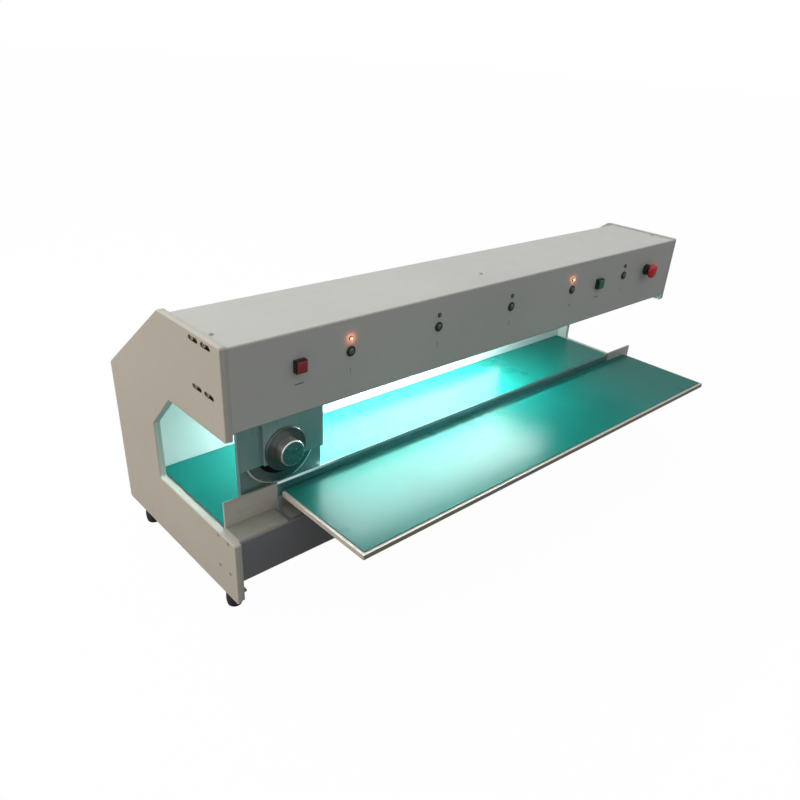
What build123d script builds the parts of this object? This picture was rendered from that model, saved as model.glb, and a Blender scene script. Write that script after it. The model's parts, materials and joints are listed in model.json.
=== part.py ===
from build123d import *
import os
from math import cos, pi, sin

# A bench machine that separates V-grooved circuit boards: a round blade on a belt-driven carriage
# runs along a fixed linear blade. Millimetres. +X runs along the blades from the carriage's parked
# end, +Y runs from the operator to the back, +Z is up, z = 0 is the bench.

# ---------------- Driving dimensions ----------------
CUT_LENGTH = 1200.0             # travel of the carriage
END_ROOM = 150.0                # from the ends of the travel to the side covers' outer faces
FIT_GAP = 0.3                   # between a cover and what it fits in

# Screws: shares of the shank's radius and of the head's height
SOCKET_SHARE = 0.85
SOCKET_DEPTH = 0.6
SCREW_CHAMFER = 0.15

# Side frames: a painted cover over a steel plate, both C-shaped
SIDE_COVER_T = 8.0
SIDE_PLATE_T = 7.0
PLATE_DEPTH = 504.0
ARM_HEIGHT = 149.0
THROAT_DEPTH = 312.0
THROAT_BEVEL = 89.0
HEAD_SETBACK = 4.0
HEAD_TOP_DEPTH = 233.0
COVER_TOP_DEPTH = 213.0         # the top ends ahead of the side frames' corner
REAR_DROP = 199.0               # height of the sloping rear
PLATE_CORNER_R = 6.0
COVER_EDGE_R = 2.5
PLATE_LIFT = 5.0                # the steel plate ends this much above the cover's bottom edge

# Adjusting slots of the beam in the side frames
SLOT_FRONT = 52.0
SLOT_PITCH = 43.0
SLOT_LENGTH = 34.0
SLOT_ROW_PITCH = 94.0
SLOT_SCREW_SHIFT = 8.5
BEAM_SCREW_R = 3.0
BEAM_SCREW_HEAD_R = 5.0
BEAM_SCREW_HEAD_H = 6.0
BEAM_SCREW_LENGTH = 26.0
SLOT_CLEARANCE = 0.4

# Flush screws of the base box
BASE_SCREW_Y = (25.0, 64.0)
BASE_SCREW_HEIGHTS = (66.0, 141.0)
BASE_SCREW_R = 2.5
BASE_SCREW_HEAD_R = 4.6
BASE_SCREW_HEAD_H = 3.0

# Feet
FOOT_HEIGHT = 35.0
FOOT_INSET = 17.5
FOOT_TOP_R = 15.5
FOOT_BELLY_R = 17.4
FOOT_BELLY_DROP = 14.0
FOOT_BOTTOM_R = 14.5
FOOT_EDGE_R = 4.0
FOOT_FRONT = 48.0
FOOT_REAR = 423.0
FOOT_STUD_R = 4.0
FOOT_STUD_SOCKET = 12.0
FOOT_PAD_WIDTH = 28.0
FOOT_PAD_LENGTH = 40.0

# Beam housing
SHEET = 2.0
BEND_R = 3.5
COVER_DROP = 2.0                # covers lie this much inside the side frames' outline
FLOOR_CLEARANCE = 13.0          # the panel's bottom edge below the carriage's top plate
PANEL_RISE = 15.0               # the panel's bottom edge above the side frames' throat roof
PANEL_RETURN = 26.0
REAR_LIP = 14.0
LAP = 16.0
TOP_SCREW_INSET = 24.0
TOP_SCREW_MIDDLE = -32.0
TOP_SCREW_DEPTH = 72.0
TOP_SCREW_R = 2.0
TOP_SCREW_HEAD_R = 4.2
TOP_SCREW_HEAD_H = 2.0
CARRIAGE_SLOT_REAR = 92.0       # where the beam floor starts, behind the carriage

# Rear cover louvres and power inlet
VENT_COUNT = 12
VENT_PITCH = 12.0
VENT_LENGTH = 60.0
VENT_WIDTH = 4.0
VENT_GROUPS = (-420.0, 180.0)
VENT_HEIGHT = 205.0
INLET_FROM_RIGHT = 120.0
INLET_HEIGHT = 105.0
INLET_WIDTH = 27.5
INLET_OPENING_HEIGHT = 20.0
INLET_FLANGE_WIDTH = 50.0
INLET_FLANGE_HEIGHT = 24.0
INLET_FLANGE_T = 1.6
INLET_DEPTH = 24.0
INLET_WALL = 2.0
INLET_CORNER_R = 4.0
INLET_PIN_SIZE = (4.0, 16.0, 2.0)
INLET_PIN_PLACES = ((-7.0, 2.0), (7.0, 2.0), (0.0, -2.0))

# Base box
BASE_UNDERSIDE = 50.0
BASE_SETBACK = 5.0
BASE_SHEET = 3.0
BASE_BEND_R = 4.0
BASE_LIP = 18.0
DECK_DEPTH = 370.0
DECK_BEHIND_WALL = 25.0
END_FLANGE_DEPTH = 90.0
MAT_T = 2.0
REAR_MAT_FRONT = 66.5
REAR_MAT_END_GAP = 5.0
MAT_CORNER_R = 3.0

# Linear blade and its holder
BLADE_OVERRUN = 6.0             # linear blade longer than the travel
BLADE_SHIFT = -7.0              # its middle from the machine's middle
BLADE_PLANE = 62.0              # depth of both blades' plane behind the side frames' front edge
BLADE_RISE = 63.0               # the linear blade's edge above the deck
LINEAR_BLADE_T = 4.0
LINEAR_BLADE_HEIGHT = 56.0
LINEAR_EDGE_T = 0.6
LINEAR_EDGE_HEIGHT = 5.0
HOLDER_T = 8.0
HOLDER_FOOT_T = 6.0
HOLDER_FOOT_DEPTH = 48.0
HOLDER_SCREW_PITCH = 200.0
HOLDER_SCREW_R = 2.5
HOLDER_SCREW_HEAD_R = 4.25
HOLDER_SCREW_HEAD_H = 5.0
HOLDER_SCREW_RISE = 16.0

# End brackets beside the linear blade
BRACKET_T = 5.0
BRACKET_BLADE_GAP = 1.0
BRACKET_NOTCH = 12.0            # the foot ends this much before the wall, beside the blade
RIGHT_BRACKET_INSET = 19.0
BRACKET_FOOT_FRONT = 7.0
BRACKET_BEND_R = 1.5

# Front table
TABLE_REACH = 211.0
TABLE_DROP = 22.0               # the mat's top below the linear blade's edge
TABLE_BOARD_T = 10.0
TABLE_LEFT_INSET = 147.0
TABLE_RIGHT_INSET = 57.0
TABLE_REAR = 57.0
TABLE_BORDER = 8.0
TABLE_EDGE_R = 1.2
TABLE_CORNER_R = 3.0
TABLE_BRACKET_PITCH = 420.0
TABLE_BRACKET_WIDTH = 32.0
TABLE_BRACKET_T = 5.0
TABLE_BRACKET_REACH = 150.0
TABLE_BRACKET_FOOT = 62.0
GUSSET_T = 5.0

# Main beam
BEAM_WALL = 6.0
BEAM_SCREW_INSET = 9.0

# Linear rail and its blocks
RAIL_WIDTH = 20.0
RAIL_HEIGHT = 17.5
RAIL_WAIST = 3.0
RAIL_WAIST_SHARES = (0.23, 0.4, 0.6, 0.77)
RAIL_END_GAP = 8.0
RAIL_HOLE_PITCH = 120.0
RAIL_HOLE_R = 3.0
RAIL_COUNTERBORE_R = 4.75
RAIL_COUNTERBORE_DEPTH = 8.5
BLOCK_WIDTH = 44.0
BLOCK_STACK = 30.0              # from the rail's seat to the block's mounting face
BLOCK_HEIGHT = 25.4
BLOCK_CORNER_R = 1.5
BLOCK_LENGTH = 76.0
BLOCK_SPACING = 102.0
BLOCK_CLEARANCE = 0.4
BLOCK_SCREW_X = 36.0
BLOCK_SCREW_Y = 32.0
BLOCK_SCREW_R = 2.5
BLOCK_SCREW_HEAD_R = 4.25
BLOCK_SCREW_HEAD_H = 5.0
BLOCK_SCREW_LENGTH = 10.0

# Carriage
BLADE_R = 85.0
BLADE_GAP = 0.5                 # between the two blades' edges
BLADE_T = 2.4
BLADE_EDGE_T = 0.4
BLADE_BEVEL = 3.5
ECCENTRICITY = 2.0
FRONT_PLATE_T = 5.0
FRONT_PLATE_REACH = (102.0, 93.0)   # of the plates either side of the blade axis
BEARING_BLOCK_REACH = (50.0, 93.0)
BEARING_BLOCK_T = 10.0
BLOCK_CHAMFER = 1.0
FRONT_PLATE_RISE = 60.0         # bottoms of the plates above the linear blade's edge
BEARING_BLOCK_RISE = 63.0
FRONT_PLATE_GAP = 5.0           # front plate to blade plane
BACK_PLATE_REACH = (90.0, 106.0)
BACK_PLATE_RISE = -12.0
BACK_PLATE_T = 12.0
BACK_PLATE_GAP = 8.0            # blade plane to back plate
TOP_PLATE_T = 10.0
BLADE_CLEARANCE = 20.5          # between the round blade and the top plate
TOP_PLATE_REAR = 150.0
PLATE_SCREW_INSET = 14.0
PLATE_SCREW_R = 3.0
PLATE_SCREW_HEAD_R = 5.0
PLATE_SCREW_HEAD_H = 6.0
PLATE_SCREW_LENGTH = 18.0

# Spindle group
KNOB_R = 27.5
KNOB_T = 22.5
KNOB_CHAMFER = 1.5
RING_R = 48.0
RING_T = 4.0
RING_BEVEL = 2.0
RING_TICKS = 36
TICK_WIDTH = 0.8
TICK_INSET = 1.0
TICK_LENGTH = 4.0
TICK_DEPTH = 0.4
KNOB_GAP = 0.5
JOURNAL_R = 12.0
KNOB_SEAT_R = 10.0
KNOB_SEAT_DEPTH = 16.0
REAR_JOURNAL_R = 5.0
BLADE_SEAT_R = 7.5
RUNNING_GAP = 0.05
BUSH_WALL = 4.0
BEARING_R = 17.5
FLANGE_R = 60.0
FLANGE_T = 3.2
HUB_R = 24.0
HUB_REAR = 5.6                  # hub's rear face behind the blade plane
CLAMP_RING_T = 3.6
CLAMP_SCREW_COUNT = 6
CLAMP_SCREW_PCD = 84.0
CLAMP_SCREW_R = 2.0
CLAMP_SCREW_HEAD_R = 3.4
CLAMP_SCREW_HEAD_H = 2.2

# Belt drive
BELT_PITCH = 5.0
PULLEY_TEETH = 24
BELT_WIDTH = 15.0
BELT_T = 2.4
BELT_CLEARANCE = 0.4
BELT_FRONT = 128.0
PULLEY_RISE = 12.0              # above the beam's underside
PULLEY_FLANGE_R = 22.5
PULLEY_FLANGE_T = 1.5
PULLEY_SIDE_GAP = 0.6
TOOTH_R = 1.5
PULLEY_INSET = 60.0
MOTOR_SHAFT_R = 6.0
AXLE_STEP = 2.0
AXLE_THREAD = 8.0
AXLE_NUT_R = 7.5
AXLE_NUT_T = 6.0
DRIVE_BRACKET_T = 6.0
DRIVE_BRACKET_WIDTH = 76.0
DRIVE_BRACKET_SHELF = 57.0
DRIVE_BRACKET_FLANGE = 44.0
DRIVE_BRACKET_DROP = 23.0
GEARBOX_SIZE = 60.0
GEARBOX_LENGTH = 46.0
GEARBOX_CORNER_R = 5.0
MOTOR_R = 28.0
MOTOR_LENGTH = 88.0
MOTOR_SCREW_SPACING = 47.0
MOTOR_SCREW_R = 2.4
MOTOR_SCREW_HEAD_R = 4.0
MOTOR_SCREW_HEAD_H = 2.0
MOTOR_SCREW_DEPTH = 8.0
CLAMP_LENGTH = 32.0
CLAMP_SHIFT = 8.0
CLAMP_WALL = 5.0
CLAMP_CAP_T = 6.0

# Sensors
SENSOR_LENGTH = 26.0
SENSOR_WIDTH = 14.0
SENSOR_HEIGHT = 22.0
SENSOR_SLOT = 4.0
SENSOR_SLOT_DEPTH = 12.0
SENSOR_LIFT = 4.0
FLAG_T = 1.5
FLAG_WIDTH = 14.0
FLAG_FOOT = 13.0
FLAG_OVERLAP = 9.0

# Lamp under the beam floor
LAMP_START = 230.0
LAMP_LENGTH = 620.0
LAMP_DEPTH = 232.0
LAMP_WIDTH = 26.0
LAMP_HEIGHT = 13.0
LAMP_WALL = 1.5

# Operator's controls on the front panel
CONTROL_DROP = 69.0             # below the side frames' top
INDICATOR_RISE = 26.0
BUTTON_SHIFT = 10.0             # the middle button from the machine's middle
BUTTON_COUNT = 5                # one for each fifth of the travel
BUTTON_BEZEL_R = 10.8
BUTTON_BEZEL_T = 2.6
BEZEL_CHAMFER = 1.0
BUTTON_BARREL_R = 7.9
BUTTON_BARREL_LENGTH = 24.0
BUTTON_CAP_R = 6.2
BUTTON_CAP_RISE = 2.2
BUTTON_CAP_DOME = 1.2
BUTTON_TRAVEL = 2.5
BUTTON_GAP = 0.3
INDICATOR_R = 5.0
INDICATOR_LENS_R = 3.4
INDICATOR_BEZEL_T = 2.0
INDICATOR_BARREL_R = 3.9
INDICATOR_BARREL_LENGTH = 14.0
INDICATOR_LENS_RISE = 2.0
INDICATOR_STATES = ("lit", "unlit", "unlit", "lit", "unlit")
SWITCH_SIZE = 26.0
SWITCH_DEPTH = 9.0
SWITCH_WALL = 2.2
SWITCH_FLOOR = 1.5
SWITCH_CORNER_R = 2.0
SWITCH_CAP_RISE = 3.0
SWITCH_CAP_EDGE_R = 1.0
SWITCH_TRAVEL = 3.0
SWITCH_BODY_SIZE = 21.0
SWITCH_BODY_LENGTH = 30.0
POWER_SWITCH_INSET = 159.0
START_BUTTON_DROP = 3.0
ESTOP_INSET = 145.0
ESTOP_COLLAR_R = 15.0
ESTOP_COLLAR_T = 12.0
ESTOP_HEAD_R = 20.0
ESTOP_HEAD_T = 11.0
ESTOP_HEAD_DOME = 4.0
ESTOP_EDGE_R = 1.5
ESTOP_REACH = 30.0
ESTOP_STEM_R = 8.0
ESTOP_PLUNGER_R = 5.0
ESTOP_TRAVEL = 5.0
ESTOP_BODY_LENGTH = 28.0

# Electrical parts in the rear compartment
SUPPLY_X = 320.0
SUPPLY_SIZE = (215.0, 100.0, 46.0)
TERMINAL_DEPTH = 16.0
TERMINAL_RIB = 2.0
TERMINAL_COUNT = 7
TERMINAL_WALL = 4.0
BOARD_X = 760.0
BOARD_SIZE = (180.0, 110.0, 1.6)
STANDOFF_R = 3.0
STANDOFF_HEIGHT = 10.0
STANDOFF_INSET = 8.0
HEADER_SIZE = (22.0, 10.0, 11.0)
HEADER_COUNT = 5
HEADER_PITCH = 28.0
HEADER_START = (22.0, 3.0)
SINK_SIZE = (43.0, 40.0, 4.0)
SINK_START = (40.0, 50.0)
FIN_COUNT = 6
FIN_T = 3.0
FIN_HEIGHT = 18.0
REAR_PARTS_INSET = 79.0         # middle of these parts ahead of the side frames' rear edge

# ---------------- Places that follow ----------------
RIGHT = CUT_LENGTH / 2 + END_ROOM
LEFT = -RIGHT
FRONT = (TABLE_REACH - PLATE_DEPTH) / 2
REAR = FRONT + PLATE_DEPTH
PLATE_BOTTOM = FOOT_HEIGHT
INNER_LEFT = LEFT + SIDE_COVER_T + SIDE_PLATE_T
INNER_RIGHT = -INNER_LEFT
DECK = PLATE_BOTTOM + ARM_HEIGHT
BLADE_Y = FRONT + BLADE_PLANE
BLADE_TOP_Z = DECK + BLADE_RISE
BLADE_Z = BLADE_TOP_Z + BLADE_GAP + BLADE_R
SPINDLE_Z = BLADE_Z + ECCENTRICITY
TOP_PLATE_BOTTOM = BLADE_Z + BLADE_R + BLADE_CLEARANCE
BLOCK_BOTTOM = TOP_PLATE_BOTTOM + TOP_PLATE_T
BEAM_BOTTOM = BLOCK_BOTTOM + BLOCK_STACK
BEAM_TOP = BEAM_BOTTOM + SLOT_ROW_PITCH + 2 * BEAM_SCREW_INSET
RAIL_BOTTOM = BEAM_BOTTOM - RAIL_HEIGHT
COVER_TOP = BEAM_TOP + SHEET
PLATE_TOP = COVER_TOP + COVER_DROP
PANEL_FACE = FRONT + HEAD_SETBACK
PANEL_BOTTOM = TOP_PLATE_BOTTOM - FLOOR_CLEARANCE
ROOF = PANEL_BOTTOM - PANEL_RISE
BEAM_SCREW_Y0 = FRONT + SLOT_FRONT + SLOT_SCREW_SHIFT
BEAM_FRONT = BEAM_SCREW_Y0 - BEAM_SCREW_INSET
BEAM_REAR = BEAM_SCREW_Y0 + SLOT_PITCH + BEAM_SCREW_INSET
BEAM_MIDDLE = (BEAM_FRONT + BEAM_REAR) / 2
BLADE_LENGTH = CUT_LENGTH + BLADE_OVERRUN
BLADE_X0 = BLADE_SHIFT - BLADE_LENGTH / 2
BLADE_X1 = BLADE_SHIFT + BLADE_LENGTH / 2
AXIS_X = -CUT_LENGTH / 2        # blade axis at the parked end
FRONT_PLATE_Y = BLADE_Y - FRONT_PLATE_GAP
BLOCK_Y = FRONT_PLATE_Y - FRONT_PLATE_T
RING_Y = BLOCK_Y - BEARING_BLOCK_T
KNOB_Y = RING_Y - RING_T - KNOB_GAP
BACK_PLATE_Y = BLADE_Y + BACK_PLATE_GAP
TABLE_TOP_Z = BLADE_TOP_Z - TABLE_DROP
TABLE_BOTTOM = TABLE_TOP_Z - MAT_T - TABLE_BOARD_T
BELT_R = PULLEY_TEETH * BELT_PITCH / (2 * pi)
PULLEY_Z = BEAM_BOTTOM + PULLEY_RISE
PULLEY_Y = FRONT + BELT_FRONT
IDLER_X = LEFT + PULLEY_INSET
DRIVE_X = RIGHT - PULLEY_INSET
BELT_INNER_R = BELT_R + BELT_CLEARANCE
BRACKET_PLATE_Y = PULLEY_Y + BELT_WIDTH + PULLEY_SIDE_GAP + PULLEY_FLANGE_T + 1.5 * PULLEY_SIDE_GAP
CONTROL_Z = PLATE_TOP - CONTROL_DROP
LENGTH_STEP = CUT_LENGTH / BUTTON_COUNT
ESTOP_X = RIGHT - ESTOP_INSET
TABLE_X0 = LEFT + TABLE_LEFT_INSET
TABLE_X1 = RIGHT - TABLE_RIGHT_INSET
CLAMP_X = AXIS_X + CLAMP_SHIFT
BASE_FLOOR = PLATE_BOTTOM + BASE_UNDERSIDE
BASE_FACE = FRONT + BASE_SETBACK
REAR_WALL_Y = FRONT + DECK_DEPTH - DECK_BEHIND_WALL
REAR_FACE = REAR - COVER_DROP


# ---------------- Helpers ----------------
CORNER = (Align.MIN, Align.MIN, Align.MIN)
STANDING = (Align.CENTER, Align.CENTER, Align.MIN)
HANGING = (Align.CENTER, Align.CENTER, Align.MAX)


def save(node, *solids):
    """Write one sub-part, of one or more separate solids."""
    shape = solids[0] if len(solids) == 1 else Compound(children=list(solids))
    export_step(shape, f"parts/{node}.step")


def block(x, y, z):
    """A box given by its (low, high) limits along each axis."""
    size = [span[1] - span[0] for span in (x, y, z)]
    return Pos(x[0], y[0], z[0]) * Box(*size, align=CORNER)


def turned(points, x, z, y=0):
    """A solid of revolution about an axis along +Y through (x, z), from (radius, y) points."""
    face = make_face(Polyline(*points, close=True))
    return Pos(x, y, z) * revolve(face, Axis.Y)


def disc(radius, y0, y1, x, z):
    """A plain cylinder along Y."""
    return turned([(0, y0), (radius, y0), (radius, y1), (0, y1)], x, z)


def ring(bore, radius, y0, y1, x, z):
    """A plain ring along Y."""
    return turned([(bore, y0), (radius, y0), (radius, y1), (bore, y1)], x, z)


def along_x(face, x0, x1):
    """Extrude a section drawn in (y, z) between two x positions."""
    return Pos(x0, 0, 0) * extrude(Plane.YZ * face, amount=x1 - x0)


def folded_sheet(points, thickness, bend_r, x0, x1):
    """A folded sheet: the outer line through (y, z) points, its thickness to the line's left."""
    outer = FilletPolyline(*points, radius=bend_r)
    return along_x(make_face(offset(outer, amount=thickness, side=Side.LEFT)), x0, x1)


def domed_pin(radius, end, rim, top):
    """A pin along Y with a spherical dome that rises from rim to top."""
    profile = [Line((0, end), (0, top)), TangentArc((0, top), (radius, rim), tangent=(1, 0)),
               Line((radius, rim), (radius, end)), Line((radius, end), (0, end))]
    return revolve(make_face(profile), Axis.Y)


def screw(shank_r, length, head_r, head_h, countersunk=False):
    """A socket screw along +Z, its head's seat at z = 0 and its shank below."""
    if countersunk:
        head = Cone(shank_r, head_r, head_h, align=STANDING)
    else:
        head = Cylinder(head_r, head_h, align=STANDING)
        head = chamfer(head.edges().group_by(Axis.Z)[-1], head_h * SCREW_CHAMFER)
    shank = Cylinder(shank_r, length, align=HANGING)
    socket = extrude(RegularPolygon(shank_r * SOCKET_SHARE, 6), amount=head_h * SOCKET_DEPTH)
    return head + shank - Pos(0, 0, head_h * (1 - SOCKET_DEPTH)) * socket


def both_sides(left_part):
    """The part and its mirror image at the other end of the machine."""
    return [left_part, mirror(left_part, about=Plane.YZ)]


# ---------------- Side frames ----------------
def side_outline(bottom):
    """C-shaped outline of a side frame in (y, z)."""
    throat_back = FRONT + THROAT_DEPTH
    corners = [
        (FRONT, bottom),
        (FRONT, DECK),
        (throat_back, DECK),
        (throat_back, ROOF - THROAT_BEVEL),
        (throat_back - THROAT_BEVEL, ROOF),
        (FRONT + HEAD_SETBACK, ROOF),
        (FRONT + HEAD_SETBACK, PLATE_TOP),
        (FRONT + HEAD_TOP_DEPTH, PLATE_TOP),
        (REAR, PLATE_TOP - REAR_DROP),
        (REAR, bottom),
    ]
    face = make_face(Polyline(*corners, close=True))
    return fillet(face.vertices(), PLATE_CORNER_R)


def beam_screw_places():
    """(y, z) of the four screws that hold the beam, at the rear end of each slot."""
    top = BEAM_TOP - BEAM_SCREW_INSET
    return [(BEAM_SCREW_Y0 + i * SLOT_PITCH, top - j * SLOT_ROW_PITCH) for i in (0, 1) for j in (0, 1)]


def slots(width, length):
    """The four adjusting slots as one sketch in (y, z)."""
    places = [(y - SLOT_SCREW_SHIFT, z) for y, z in beam_screw_places()]
    return Locations(*places).local_locations, SlotOverall(length, width)


def cut_slots(part, x0, x1, width, length):
    places, slot = slots(width, length)
    for place in places:
        part -= along_x(place * slot, x0, x1)
    return part


def base_screw_places():
    return [(FRONT + y, PLATE_BOTTOM + z) for y in BASE_SCREW_Y for z in BASE_SCREW_HEIGHTS]


def side_cover():
    """Painted outer cover with rounded outer edges, slots and countersinks."""
    cover = along_x(side_outline(PLATE_BOTTOM), LEFT, LEFT + SIDE_COVER_T)
    cover = fillet(cover.faces().sort_by(Axis.X)[0].edges(), COVER_EDGE_R)
    width = 2 * (BEAM_SCREW_HEAD_R + SLOT_CLEARANCE)
    cover = cut_slots(cover, LEFT, LEFT + SIDE_COVER_T, width, SLOT_LENGTH)
    for y, z in base_screw_places():
        hole = Cylinder(BASE_SCREW_R + FIT_GAP, SIDE_COVER_T, align=STANDING)
        sink = Cone(BASE_SCREW_HEAD_R + FIT_GAP, BASE_SCREW_R + FIT_GAP, BASE_SCREW_HEAD_H,
                    align=STANDING)
        cover -= Pos(LEFT, y, z) * Rot(Y=90) * (hole + sink)
    return cover


def foot_places():
    return [(LEFT + FOOT_INSET, FRONT + y) for y in (FOOT_FRONT, FOOT_REAR)]


def side_plate():
    """Steel inner plate with the welded pads that take the feet."""
    x0 = LEFT + SIDE_COVER_T
    plate = along_x(side_outline(PLATE_BOTTOM + PLATE_LIFT), x0, INNER_LEFT)
    width = 2 * (BEAM_SCREW_R + SLOT_CLEARANCE)
    plate = cut_slots(plate, x0, INNER_LEFT, width, SLOT_LENGTH - width)
    for y, z in base_screw_places():
        plate -= Pos(x0, y, z) * Rot(Y=90) * Cylinder(
            BASE_SCREW_R + FIT_GAP, SIDE_PLATE_T, align=STANDING)
    for x, y in foot_places():
        half = FOOT_PAD_LENGTH / 2
        lift = (PLATE_BOTTOM, PLATE_BOTTOM + PLATE_LIFT)
        plate += block((x0, x0 + FOOT_PAD_WIDTH), (y - half, y + half), lift)
        plate -= Pos(x, y, PLATE_BOTTOM) * Cylinder(
            FOOT_STUD_R + RUNNING_GAP, PLATE_LIFT, align=STANDING)
    return plate


def rubber_foot():
    """Barrel-shaped rubber foot with a moulded-in stud socket, top face at z = 0."""
    top, belly, bottom = (FOOT_TOP_R, 0), (FOOT_BELLY_R, -FOOT_BELLY_DROP), (FOOT_BOTTOM_R, -FOOT_HEIGHT)
    inside = [top, (FOOT_STUD_R, 0), (FOOT_STUD_R, -FOOT_STUD_SOCKET), (0, -FOOT_STUD_SOCKET),
              (0, -FOOT_HEIGHT), bottom]
    face = make_face([ThreePointArc(bottom, belly, top), Polyline(*inside)])
    foot = revolve(Plane.XZ * face, Axis.Z)
    return fillet(foot.edges().group_by(Axis.Z)[0], FOOT_EDGE_R)


def feet():
    """Four rubber feet and the studs that hold them in the side plates' pads."""
    rubbers, studs = [], []
    stud_length = FOOT_STUD_SOCKET + PLATE_LIFT
    for x, y in foot_places():
        rubbers += both_sides(Pos(x, y, PLATE_BOTTOM) * rubber_foot())
        stud = Cylinder(FOOT_STUD_R, stud_length, align=HANGING)
        studs += both_sides(Pos(x, y, PLATE_BOTTOM + PLATE_LIFT) * stud)
    return rubbers + studs


def beam_screws():
    """Cap screws in the slots, heads seated on the steel plates."""
    one = screw(BEAM_SCREW_R, BEAM_SCREW_LENGTH, BEAM_SCREW_HEAD_R, BEAM_SCREW_HEAD_H)
    screws = []
    for y, z in beam_screw_places():
        screws += both_sides(Pos(LEFT + SIDE_COVER_T, y, z) * Rot(Y=-90) * one)
    return screws


def base_screws():
    """Flush screws that hold the base box between the side frames."""
    length = SIDE_COVER_T + SIDE_PLATE_T + FIT_GAP + BASE_SHEET - BASE_SCREW_HEAD_H
    one = screw(BASE_SCREW_R, length, BASE_SCREW_HEAD_R, BASE_SCREW_HEAD_H, countersunk=True)
    screws = []
    for y, z in base_screw_places():
        screws += both_sides(Pos(LEFT + BASE_SCREW_HEAD_H, y, z) * Rot(Y=-90) * one)
    return screws


# ---------------- Base ----------------
def base_housing():
    """Folded deck and front wall, with a flange at each end for the side screws."""
    bottom = BASE_FLOOR
    deck_rear = FRONT + DECK_DEPTH
    points = [(BASE_FACE + BASE_LIP, bottom), (BASE_FACE, bottom), (BASE_FACE, DECK), (deck_rear, DECK),
              (deck_rear, DECK - BASE_LIP)]
    x0 = INNER_LEFT + FIT_GAP
    housing = folded_sheet(points[::-1], BASE_SHEET, BASE_BEND_R, x0, -x0)
    inner_y = BASE_FACE + BASE_SHEET
    flange = block((x0, x0 + BASE_SHEET),
                   (inner_y, inner_y + END_FLANGE_DEPTH), (bottom + BASE_SHEET, DECK - BASE_SHEET))
    for y, z in base_screw_places():
        flange -= Pos(INNER_LEFT, y, z) * Rot(Y=90) * Cylinder(BASE_SCREW_R + RUNNING_GAP, 4 * BASE_SHEET)
    for part in both_sides(flange):
        housing += part
    return housing


def base_floor():
    """Shallow pan that closes the base below, with upturned front and rear edges."""
    y0 = BASE_FACE + BASE_LIP + FIT_GAP
    y1 = REAR_FACE - REAR_LIP - FIT_GAP
    points = [(y0, BASE_FLOOR + BASE_LIP), (y0, BASE_FLOOR), (y1, BASE_FLOOR), (y1, BASE_FLOOR + BASE_LIP)]
    end = INNER_RIGHT - FIT_GAP - BASE_SHEET - FIT_GAP
    return folded_sheet(points, SHEET, BEND_R, -end, end)


def inner_rear_wall():
    """Wall behind the rear mat, folded back at the foot and under the beam floor."""
    fold = REAR_WALL_Y + DECK_BEHIND_WALL - BASE_BEND_R
    top = PANEL_BOTTOM - SHEET
    points = [(fold, DECK), (REAR_WALL_Y, DECK), (REAR_WALL_Y, top), (fold, top)]
    return folded_sheet(points[::-1], SHEET, BEND_R, INNER_LEFT + FIT_GAP, INNER_RIGHT - FIT_GAP)


def rear_mat():
    y0, y1 = FRONT + REAR_MAT_FRONT, REAR_WALL_Y - FIT_GAP
    x0 = INNER_LEFT + REAR_MAT_END_GAP
    mat = block((x0, -x0), (y0, y1), (DECK, DECK + MAT_T))
    return fillet(mat.edges().filter_by(Axis.Z), MAT_CORNER_R)


# ---------------- Covers of the beam ----------------
def button_x(place):
    """Length buttons are a fifth of the travel apart; places count from 1."""
    return BUTTON_SHIFT + (place - (BUTTON_COUNT + 1) / 2) * LENGTH_STEP


def button_places():
    return [button_x(index + 1) for index in range(BUTTON_COUNT)]


def switch_places():
    """(x, z) of the square power switch and of the start button, between the last two length buttons."""
    start_x = (button_x(BUTTON_COUNT - 1) + button_x(BUTTON_COUNT)) / 2
    return (LEFT + POWER_SWITCH_INSET, CONTROL_Z), (start_x, CONTROL_Z - START_BUTTON_DROP)


def panel_hole(radius, x, z):
    return disc(radius, PANEL_FACE - SHEET, PANEL_FACE + 2 * SHEET, x, z)


def top_screw_places():
    y = FRONT + TOP_SCREW_DEPTH
    return [(x, y) for x in (LEFT + TOP_SCREW_INSET, TOP_SCREW_MIDDLE, RIGHT - TOP_SCREW_INSET)]


def upper_cover():
    """One folded sheet: bottom return flange, control panel and top."""
    x0 = INNER_LEFT + FIT_GAP
    points = [(PANEL_FACE + PANEL_RETURN, PANEL_BOTTOM), (PANEL_FACE, PANEL_BOTTOM),
              (PANEL_FACE, COVER_TOP), (FRONT + COVER_TOP_DEPTH, COVER_TOP)]
    cover = folded_sheet(points[::-1], SHEET, BEND_R, x0, -x0)
    for x in button_places():
        cover -= panel_hole(BUTTON_BARREL_R + FIT_GAP, x, CONTROL_Z)
        cover -= panel_hole(INDICATOR_BARREL_R + FIT_GAP, x, CONTROL_Z + INDICATOR_RISE)
    for x, z in switch_places():
        half = SWITCH_BODY_SIZE / 2 + FIT_GAP
        through = (PANEL_FACE - SHEET, PANEL_FACE + 2 * SHEET)
        cover -= block((x - half, x + half), through, (z - half, z + half))
    cover -= panel_hole(ESTOP_STEM_R + SHEET + FIT_GAP, ESTOP_X, CONTROL_Z)
    for x, y in top_screw_places():
        cover -= Pos(x, y, COVER_TOP - SHEET) * Cylinder(TOP_SCREW_R + FIT_GAP, 4 * SHEET)
    return cover


def top_screws():
    one = screw(TOP_SCREW_R, SHEET + BEAM_WALL, TOP_SCREW_HEAD_R, TOP_SCREW_HEAD_H)
    return [Pos(x, y, COVER_TOP) * one for x, y in top_screw_places()]


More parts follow.
